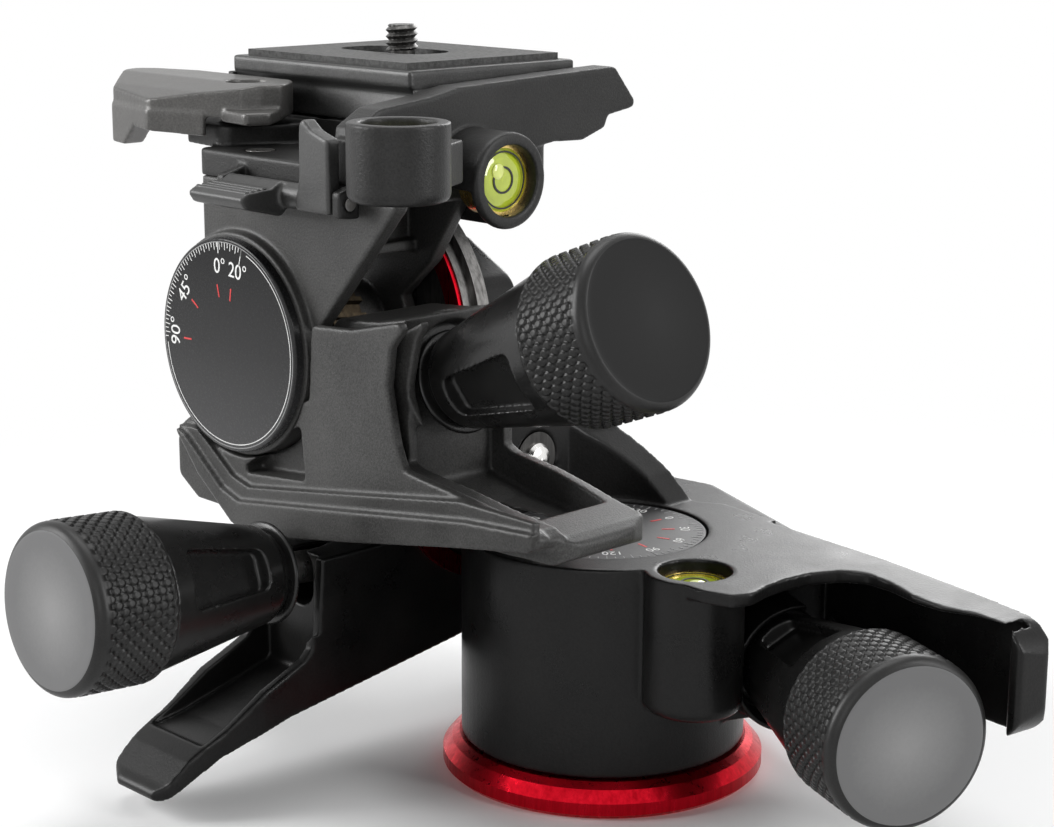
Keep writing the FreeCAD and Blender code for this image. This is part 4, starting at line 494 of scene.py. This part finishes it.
def knurl_height(along, around, radius):
    """Depth below the cap's surface at a place of the knurled band: flat ovals in staggered rings."""
    ring = round(along / KNURL_RING_PITCH)
    pitch = 2 * math.pi * radius / KNURL_AROUND
    nearest = math.inf
    for index in (ring - 1, ring, ring + 1):
        offset = 0.5 * pitch if index % 2 else 0.0
        du = (along - index * KNURL_RING_PITCH) / OVAL_ALONG
        dv = around - offset
        dv = (dv - pitch * round(dv / pitch)) / OVAL_ACROSS
        nearest = min(nearest, math.hypot(du, dv) - OVAL_LEAN * du)
    rise = min(1.0, max(0.0, (nearest - OVAL_TOP) / OVAL_SIDE))
    return KNURL_DEPTH * rise * rise * (3 - 2 * rise)


def cap_rows(start, face, radius, band_start, band_end):
    """Rings of a cap from back to face as (height, radius, knurled), and how many come before the face."""
    rows = [(start + along * MM, radius - below * MM, False) for along, below in CAP_BACK]
    steps = round((band_end - band_start) / KNURL_STEP)
    for index in range(steps + 1):
        rows.append((band_start + (band_end - band_start) * index / steps, radius, True))
    for index in range(CAP_RIM_STEPS + 1):
        angle = math.radians(90 * index / CAP_RIM_STEPS)
        rows.append((face - CAP_RIM + CAP_RIM * math.sin(angle),
                     radius - BAND_END_DEPTH - CAP_RIM + CAP_RIM * math.cos(angle), False))
    before_face = len(rows)
    for share in FACE_SHARES:
        rows.append((face - FACE_DISH * (1 - share) ** 1.5, (radius - CAP_RIM) * share, False))
    return rows, before_face


def knurled_cap(node_name, joint_name, face_look):
    """Rubber cap of a knob, with its knurl and a second look on its face that carries painted light and shade."""
    matrix = spin_frame(joint_name)
    start, face, radius = reach(node_name, matrix)
    band_start, band_end = start + CAP_LIP, face - CAP_RIM - BAND_TO_RIM
    rows, before_face = cap_rows(start, face, radius, band_start, band_end)
    around = round(2 * math.pi * radius / KNURL_STEP)
    around += -around % KNURL_AROUND
    points = []
    for z, r, knurled in rows:
        fade = max(0.0, min(1.0, (z - band_start) / BAND_FADE, (band_end - z) / BAND_FADE))
        for step in range(around):
            angle = 2 * math.pi * step / around
            depth = 0.0
            if knurled:
                knurl = knurl_height(z - band_start, angle * radius, radius)
                depth = knurl * fade + BAND_END_DEPTH * (1 - fade)
            points.append(Vector(((r - depth) * math.cos(angle), (r - depth) * math.sin(angle), z)))
    mesh = new_mesh(f"{node_name}_knurled", points, ring_faces(len(rows), around), matrix)
    shares = mesh.attributes.new(SHARE, "FLOAT", "POINT")
    for row, (_, r, _) in enumerate(rows):
        for step in range(around):
            shares.data[row * around + step].value = r / radius
    piece = add_object(f"{node_name}_knurled", mesh)
    smooth(piece, 50)
    finish_piece(piece, node_name, rubber)
    piece.data.materials.append(face_look)
    first, last = (before_face - FACE_LOOK_ROWS) * around, (len(rows) - 1) * around
    for face_index, polygon in enumerate(piece.data.polygons):
        if first <= face_index <= last:
            polygon.material_index = 1


def neck_ring(node_name, joint_name):
    """Glossy flange at the root of a knob, with a gap behind it."""
    matrix = spin_frame(joint_name)
    start = reach(node_name, matrix)[0]
    profile = [(radius * MM, start + height * MM) for radius, height in FLANGE]
    lathe(f"{node_name}_flange", profile, matrix, knob_black, body_of[node_name], closed=True)


# The front knob's face gets the painted shade; the pan and lateral knobs' faces get the painted light.
KNOBS = (("pan_knob", face_painted_lit), ("lateral_knob", face_painted_lit), ("front_knob", face_painted_shade))
for knob_name, face_look in KNOBS:
    knurled_cap(f"{knob_name}_grip", f"{knob_name}_spin", face_look)
    neck_ring(knob_name, f"{knob_name}_spin")


# ---------------------------------------------------------------- printed marks
MARK_RISE = 0.05 * MM        # a mark stands this high over its face and goes as deep below it
BAND_STEP = 3.0              # degrees
RIGHT, BACK, UP = (1, 0, 0), (0, 1, 0), (0, 0, 1)


def face_frame(centre, right, above):
    """Matrix of a face: X to its right, Y up on it, Z out of it."""
    right, above = Vector(right), Vector(above)
    out = right.cross(above)
    turn = Matrix((right, above, out)).transposed().to_4x4()
    return Matrix.Translation(Vector(centre)) @ turn


def on_dial(radius, angle):
    """Place on a dial: radius in millimetres, degrees from its top towards its right."""
    turn = math.radians(angle)
    return radius * MM * math.sin(turn), radius * MM * math.cos(turn)


class Dial:
    """Face that marks are printed on; they move with the body of its node."""

    def __init__(self, node_name, matrix):
        self.body = body_of[node_name]
        self.matrix = matrix

    def add(self, name, points, faces, made):
        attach(add_object(name, new_mesh(name, points, faces, self.matrix), made), self.body)

    def tick(self, name, inner, outer, angle, width, made):
        """Straight line along a radius."""
        x0, y0 = on_dial(inner, angle)
        x1, y1 = on_dial(outer, angle)
        ax, ay = on_dial(width / 2, angle + 90)
        outline = [(x0 - ax, y0 - ay), (x1 - ax, y1 - ay), (x1 + ax, y1 + ay), (x0 + ax, y0 + ay)]
        points = [(x, y, z) for z in (-MARK_RISE, MARK_RISE) for x, y in outline]
        faces = [(4, 5, 6, 7), (3, 2, 1, 0), (0, 1, 5, 4), (1, 2, 6, 5), (2, 3, 7, 6), (3, 0, 4, 7)]
        self.add(name, points, faces, made)

    def band(self, name, inner, outer, start, end, made):
        """Part of a flat ring between two radii and two angles."""
        count = max(2, math.ceil(abs(end - start) / BAND_STEP))
        points, faces = [], []
        for index in range(count + 1):
            angle = start + (end - start) * index / count
            for r, z in ((inner, -MARK_RISE), (outer, -MARK_RISE), (outer, MARK_RISE), (inner, MARK_RISE)):
                points.append((*on_dial(r, angle), z))
        for index in range(count):
            for side in range(4):
                a, b = index * 4 + side, index * 4 + (side + 1) % 4
                faces.append((a, b, b + 4, a + 4))
        faces.append((3, 2, 1, 0))
        faces.append(tuple(range(count * 4, count * 4 + 4)))
        self.add(name, points, faces, made)

    def label(self, name, text, size, radius, angle, turn):
        """White number; turn is its slant in degrees, clockwise."""
        curve = bpy.data.curves.new(name, "FONT")
        curve.body = text
        curve.size = size * MM
        curve.extrude = MARK_RISE
        curve.align_x = "CENTER"
        curve.align_y = "CENTER"
        piece = add_object(name, curve)
        mesh = evaluated_mesh(piece)
        bpy.data.objects.remove(piece)
        place = Matrix.Translation((*on_dial(radius, angle), 0))
        mesh.transform(self.matrix @ place @ Matrix.Rotation(math.radians(-turn), 4, "Z"))
        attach(add_object(name, mesh, mark_white), self.body)


# Radii, widths and sizes of marks are in millimetres and angles in degrees.
FRONT_SCALE_START = 15.0     # angle of the 20 degree mark; the scale runs anticlockwise from it
FRONT_SCALE_STEP = 2.5
FRONT_SCALE_TICKS = 44
FRONT_TICK_INNER = (17.9, 18.4)      # of the long and the short ticks
FRONT_TICK_OUTER = 19.3
FRONT_ZERO = -6.6            # angle of the zero mark
FRONT_LABEL_SIZE = 4.0
FRONT_LABELS = (             # degrees shown, radius, angle, slant
    (0, 14.7, FRONT_ZERO, 0), (20, 14.6, 14.5, 6), (45, 15.4, -54, -54), (90, 15.9, -88, -88))
DEGREE_SIGN = chr(176)
FRONT_REDS = ((10.3, -13), (9.8, 8), (11.7, -55.5), (12.3, -92))     # radius of the middle, angle
FRONT_RED_HALF = 1.2
PAN_TICKS = 72
PAN_TICK_INNER = (16.3, 17.1, 17.1)      # every third tick is long
PAN_TICK_OUTER = 18.2
PAN_NUMBERS = 12
PAN_ZERO = 11                # angle of the pan dial's zero


def front_marks():
    axis = Vector(joints["front_tilt"]["pos_m"])
    dial = Dial("front_dial", face_frame((axis.x, span("front_dial", 1)[0], axis.z), RIGHT, UP))
    for index in range(FRONT_SCALE_TICKS):
        angle = FRONT_SCALE_START - FRONT_SCALE_STEP * index
        inner = FRONT_TICK_INNER[index % 2]
        dial.tick(f"front_tick_{index}", inner, FRONT_TICK_OUTER, angle, 0.16, mark_white)
    dial.tick("front_tick_top", 15.9, FRONT_TICK_OUTER, FRONT_SCALE_START, 0.2, mark_white)
    dial.tick("front_tick_zero", 17.2, FRONT_TICK_OUTER, FRONT_ZERO, 0.2, mark_white)
    dial.band("front_arc", 18.62, 18.78, 20.0, 264.0, mark_white)
    dial.band("front_rim_inner", 19.25, 19.42, 0.0, 360.0, mark_grey)
    for shown, radius, angle, turn in FRONT_LABELS:
        dial.label(f"front_number_{shown}", f"{shown}{DEGREE_SIGN}", FRONT_LABEL_SIZE, radius, angle, turn)
    for index, (radius, angle) in enumerate(FRONT_REDS):
        inner, outer = radius - FRONT_RED_HALF, radius + FRONT_RED_HALF
        dial.tick(f"front_red_{index}", inner, outer, angle, 0.32, mark_red)


def pan_marks():
    dial = Dial("pan_dial", face_frame((0, 0, span("pan_dial", 2)[1]), RIGHT, BACK))
    for index in range(PAN_TICKS):
        angle = 360 / PAN_TICKS * index
        dial.tick(f"pan_tick_{index}", PAN_TICK_INNER[index % 3], PAN_TICK_OUTER, angle, 0.2, mark_grey)
    for index in range(PAN_NUMBERS):
        value = 360 // PAN_NUMBERS * index
        angle = value + PAN_ZERO
        dial.tick(f"pan_red_{index}", 10.6, 13.0, angle, 0.45, mark_red)
        dial.label(f"pan_number_{index}", str(value), 2.6, 14.8, angle, angle)


BUBBLE = ((1.5, -0.1), (1.45, 0.06), (1.2, 0.2), (0.8, 0.28), (0.3, 0.32))     # radius and height, mm


def level_marks(prefix, right, above, axis, bubble_at):
    """Two black circles and a bubble on the end of a level's vial that faces along an axis."""
    node_name = f"{prefix}_level_vial"
    centre = [sum(span(node_name, index)) / 2 for index in range(3)]
    centre[axis] = span(node_name, axis)[1]
    dial = Dial(node_name, face_frame(centre, right, above))
    dial.band(f"{prefix}_level_circle", 2.1, 2.5, 0, 360, mark_black)
    dial.band(f"{prefix}_level_edge", 5.0, 5.3, 0, 360, mark_black)
    x, y = bubble_at
    profile = [(radius * MM, height * MM) for radius, height in BUBBLE]
    place = dial.matrix @ Matrix.Translation((x * MM, y * MM, 0))
    lathe(f"{prefix}_level_bubble", profile, place, bubble_green, dial.body, 48)


front_marks()
pan_marks()
level_marks("pan", RIGHT, BACK, 2, (0.4, 0.2))
level_marks("front", RIGHT, BACK, 2, (0.5, 0.6))
level_marks("side", BACK, UP, 0, (-1.2, 1.6))


# ---------------------------------------------------------------- camera screw
SCREW_STEPS = 72
SCREW_FOOT_RADIUS = 6.2 * MM
SCREW_FLANGE_RADIUS = 6.4 * MM
SCREW_FLANGE_HEIGHT = 2.2 * MM
SCREW_NECK_RADIUS = 2.6 * MM
SCREW_TOP = 2 * MM           # the thread's radius is measured on the CAD over this length
THREAD_LENGTH = 4.9 * MM
THREAD_LEVELS = 64
THREAD_PITCH = 1.27 * MM
THREAD_CUT = 0.62 * MM
THREAD_CHAMFER = 0.7 * MM


def threaded_screw():
    """Camera screw as stacked rings: a flange, a neck and a cut thread."""
    x, y = (sum(span("camera_screw", axis)) / 2 for axis in (0, 1))
    low, high = span("camera_screw", 2)
    radius = max(math.hypot(v.co.x - x, v.co.y - y)
                 for v in frame["nodes"]["camera_screw"].data.vertices if v.co.z > high - SCREW_TOP)
    thread_low = high - THREAD_LENGTH
    flange_top = low + SCREW_FLANGE_HEIGHT
    rows = [(SCREW_FOOT_RADIUS, low), (SCREW_FLANGE_RADIUS, low), (SCREW_FLANGE_RADIUS, flange_top),
            (SCREW_NECK_RADIUS, flange_top), (SCREW_NECK_RADIUS, thread_low)]
    points = [point for r, z in rows for point in ring_points(r, z, SCREW_STEPS)]
    for level in range(THREAD_LEVELS + 1):
        z = thread_low + (high - thread_low) * level / THREAD_LEVELS
        chamfer = max(0.0, z - (high - THREAD_CHAMFER))
        for step in range(SCREW_STEPS):
            angle = 2 * math.pi * step / SCREW_STEPS
            phase = (z / THREAD_PITCH - step / SCREW_STEPS) % 1.0
            r = min(radius - THREAD_CUT * (1 - abs(2 * phase - 1)), radius - chamfer)
            points.append((r * math.cos(angle), r * math.sin(angle), z))
    faces = ring_faces(len(rows) + THREAD_LEVELS + 1, SCREW_STEPS)
    name = "camera_screw_threaded"
    piece = add_object(name, new_mesh(name, points, faces, Matrix.Translation((x, y, 0))))
    smooth(piece, 25)
    finish_piece(piece, "camera_screw", black_steel)


threaded_screw()


# ---------------------------------------------------------------- ridges of the safety catch
RIDGES = 4
RIDGE_ENDS = (-53.2, -38.4)      # along X, mm
RIDGE_START = (-46.4, 108.25)    # Y and Z where the ridged strip begins, mm
RIDGE_STRIP = (-5.6, -0.6)       # Y and Z from there to its end, mm
RIDGE_OFFSET, RIDGE_SPACES = 0.7, 4.4
RIDGE_RADIUS, RIDGE_END_RADIUS, RIDGE_END = 0.5 * MM, 0.3 * MM, 0.2 * MM


def catch_ridges():
    length = (RIDGE_ENDS[1] - RIDGE_ENDS[0]) * MM
    profile = [(RIDGE_END_RADIUS, 0), (RIDGE_RADIUS, RIDGE_END),
               (RIDGE_RADIUS, length - RIDGE_END), (RIDGE_END_RADIUS, length)]
    for index in range(RIDGES):
        share = (index + RIDGE_OFFSET) / RIDGE_SPACES
        y, z = (start + strip * share for start, strip in zip(RIDGE_START, RIDGE_STRIP))
        matrix = face_frame(Vector((RIDGE_ENDS[0], y, z)) * MM, BACK, UP)
        lathe(f"catch_ridge_{index}", profile, matrix, catch_black, body_of["safety_catch"], 16)


catch_ridges()


# ---------------------------------------------------------------- light, floor and backdrop
LOOK_AT = Vector((-0.01, -0.01, 0.065))
WORLD_COLOUR = (0.86, 0.88, 0.90, 1)
WORLD_STRENGTH = 0.10
FLOOR_FADE = (0.06, 0.30)        # metres from the middle: shaded floor inside, plain white outside
FLOOR_HALF = 3.0


def add_area(name, place, width, height, power):
    """Soft rectangular lamp that faces the object; place and sizes are in metres."""
    data = bpy.data.lights.new(name, "AREA")
    data.energy = power
    data.shape = "RECTANGLE"
    data.size = width
    data.size_y = height
    lamp = bpy.data.objects.new(name, data)
    scene.collection.objects.link(lamp)
    turn = (LOOK_AT - Vector(place)).to_track_quat("-Z", "Y").to_matrix().to_4x4()
    lamp.matrix_world = Matrix.Translation(Vector(place)) @ turn


def white_seen(nodes, links):
    """One for the rays that are to see a white background: camera, glossy and transmission rays."""
    path = nodes.new("ShaderNodeLightPath")
    first = maths(nodes, links, "MAXIMUM", path.outputs["Is Camera Ray"], path.outputs["Is Glossy Ray"])
    return maths(nodes, links, "MAXIMUM", first, path.outputs["Is Transmission Ray"])


def add_world():
    """Dim light from all sides, seen as plain white."""
    world = bpy.data.worlds.new("studio")
    scene.world = world
    world.use_nodes = True
    nodes, links = world.node_tree.nodes, world.node_tree.links
    nodes.clear()
    output = nodes.new("ShaderNodeOutputWorld")
    lit = nodes.new("ShaderNodeBackground")
    seen = nodes.new("ShaderNodeBackground")
    mix = nodes.new("ShaderNodeMixShader")
    lit.inputs["Color"].default_value = WORLD_COLOUR
    lit.inputs["Strength"].default_value = WORLD_STRENGTH
    seen.inputs["Color"].default_value = (1, 1, 1, 1)
    seen.inputs["Strength"].default_value = 1.0
    links.new(white_seen(nodes, links), mix.inputs["Fac"])
    links.new(lit.outputs[0], mix.inputs[1])
    links.new(seen.outputs[0], mix.inputs[2])
    links.new(mix.outputs[0], output.inputs["Surface"])


def add_floor():
    """White floor that is shaded under the object and plain white away from it."""
    made, nodes, links, shader = new_material("floor_white")
    shader.inputs["Roughness"].default_value = 0.8
    shader.inputs["Specular IOR Level"].default_value = 0.0
    tint = noise_at(nodes, links, 3.0, 2.0)
    links.new(noise_ramp(nodes, links, tint, grey(0.93), grey(0.95)), shader.inputs["Base Color"])
    coords = nodes.new("ShaderNodeTexCoord")
    length = nodes.new("ShaderNodeVectorMath")
    length.operation = "LENGTH"
    links.new(coords.outputs["Object"], length.inputs[0])
    fade = nodes.new("ShaderNodeMapRange")
    fade.interpolation_type = "SMOOTHSTEP"
    fade.inputs["From Min"].default_value = FLOOR_FADE[0]
    fade.inputs["From Max"].default_value = FLOOR_FADE[1]
    links.new(length.outputs["Value"], fade.inputs["Value"])
    whiteness = maths(nodes, links, "MULTIPLY", fade.outputs[0], white_seen(nodes, links))
    white = nodes.new("ShaderNodeEmission")
    mix = nodes.new("ShaderNodeMixShader")
    links.new(whiteness, mix.inputs["Fac"])
    links.new(shader.outputs[0], mix.inputs[1])
    links.new(white.outputs[0], mix.inputs[2])
    links.new(mix.outputs[0], nodes["Material Output"].inputs["Surface"])
    half = FLOOR_HALF
    corners = [(-half, -half, 0), (half, -half, 0), (half, half, 0), (-half, half, 0)]
    floor = add_object("floor", new_mesh("floor", corners, [(0, 1, 2, 3)], Matrix.Identity(4)), made)


add_world()
add_floor()
add_area("left_box", (-0.75, -0.75, 0.50), 0.45, 0.7, power=12)
add_area("top_box", (-0.15, 0.10, 0.95), 0.7, 0.5, power=5)
add_area("right_box", (0.85, 0.35, 0.45), 0.3, 0.8, power=6)
add_area("front_fill", (0.55, -0.85, 0.35), 0.5, 0.5, power=1.6)
add_area("back_rim", (-0.4, 0.9, 0.5), 0.5, 0.5, power=4)
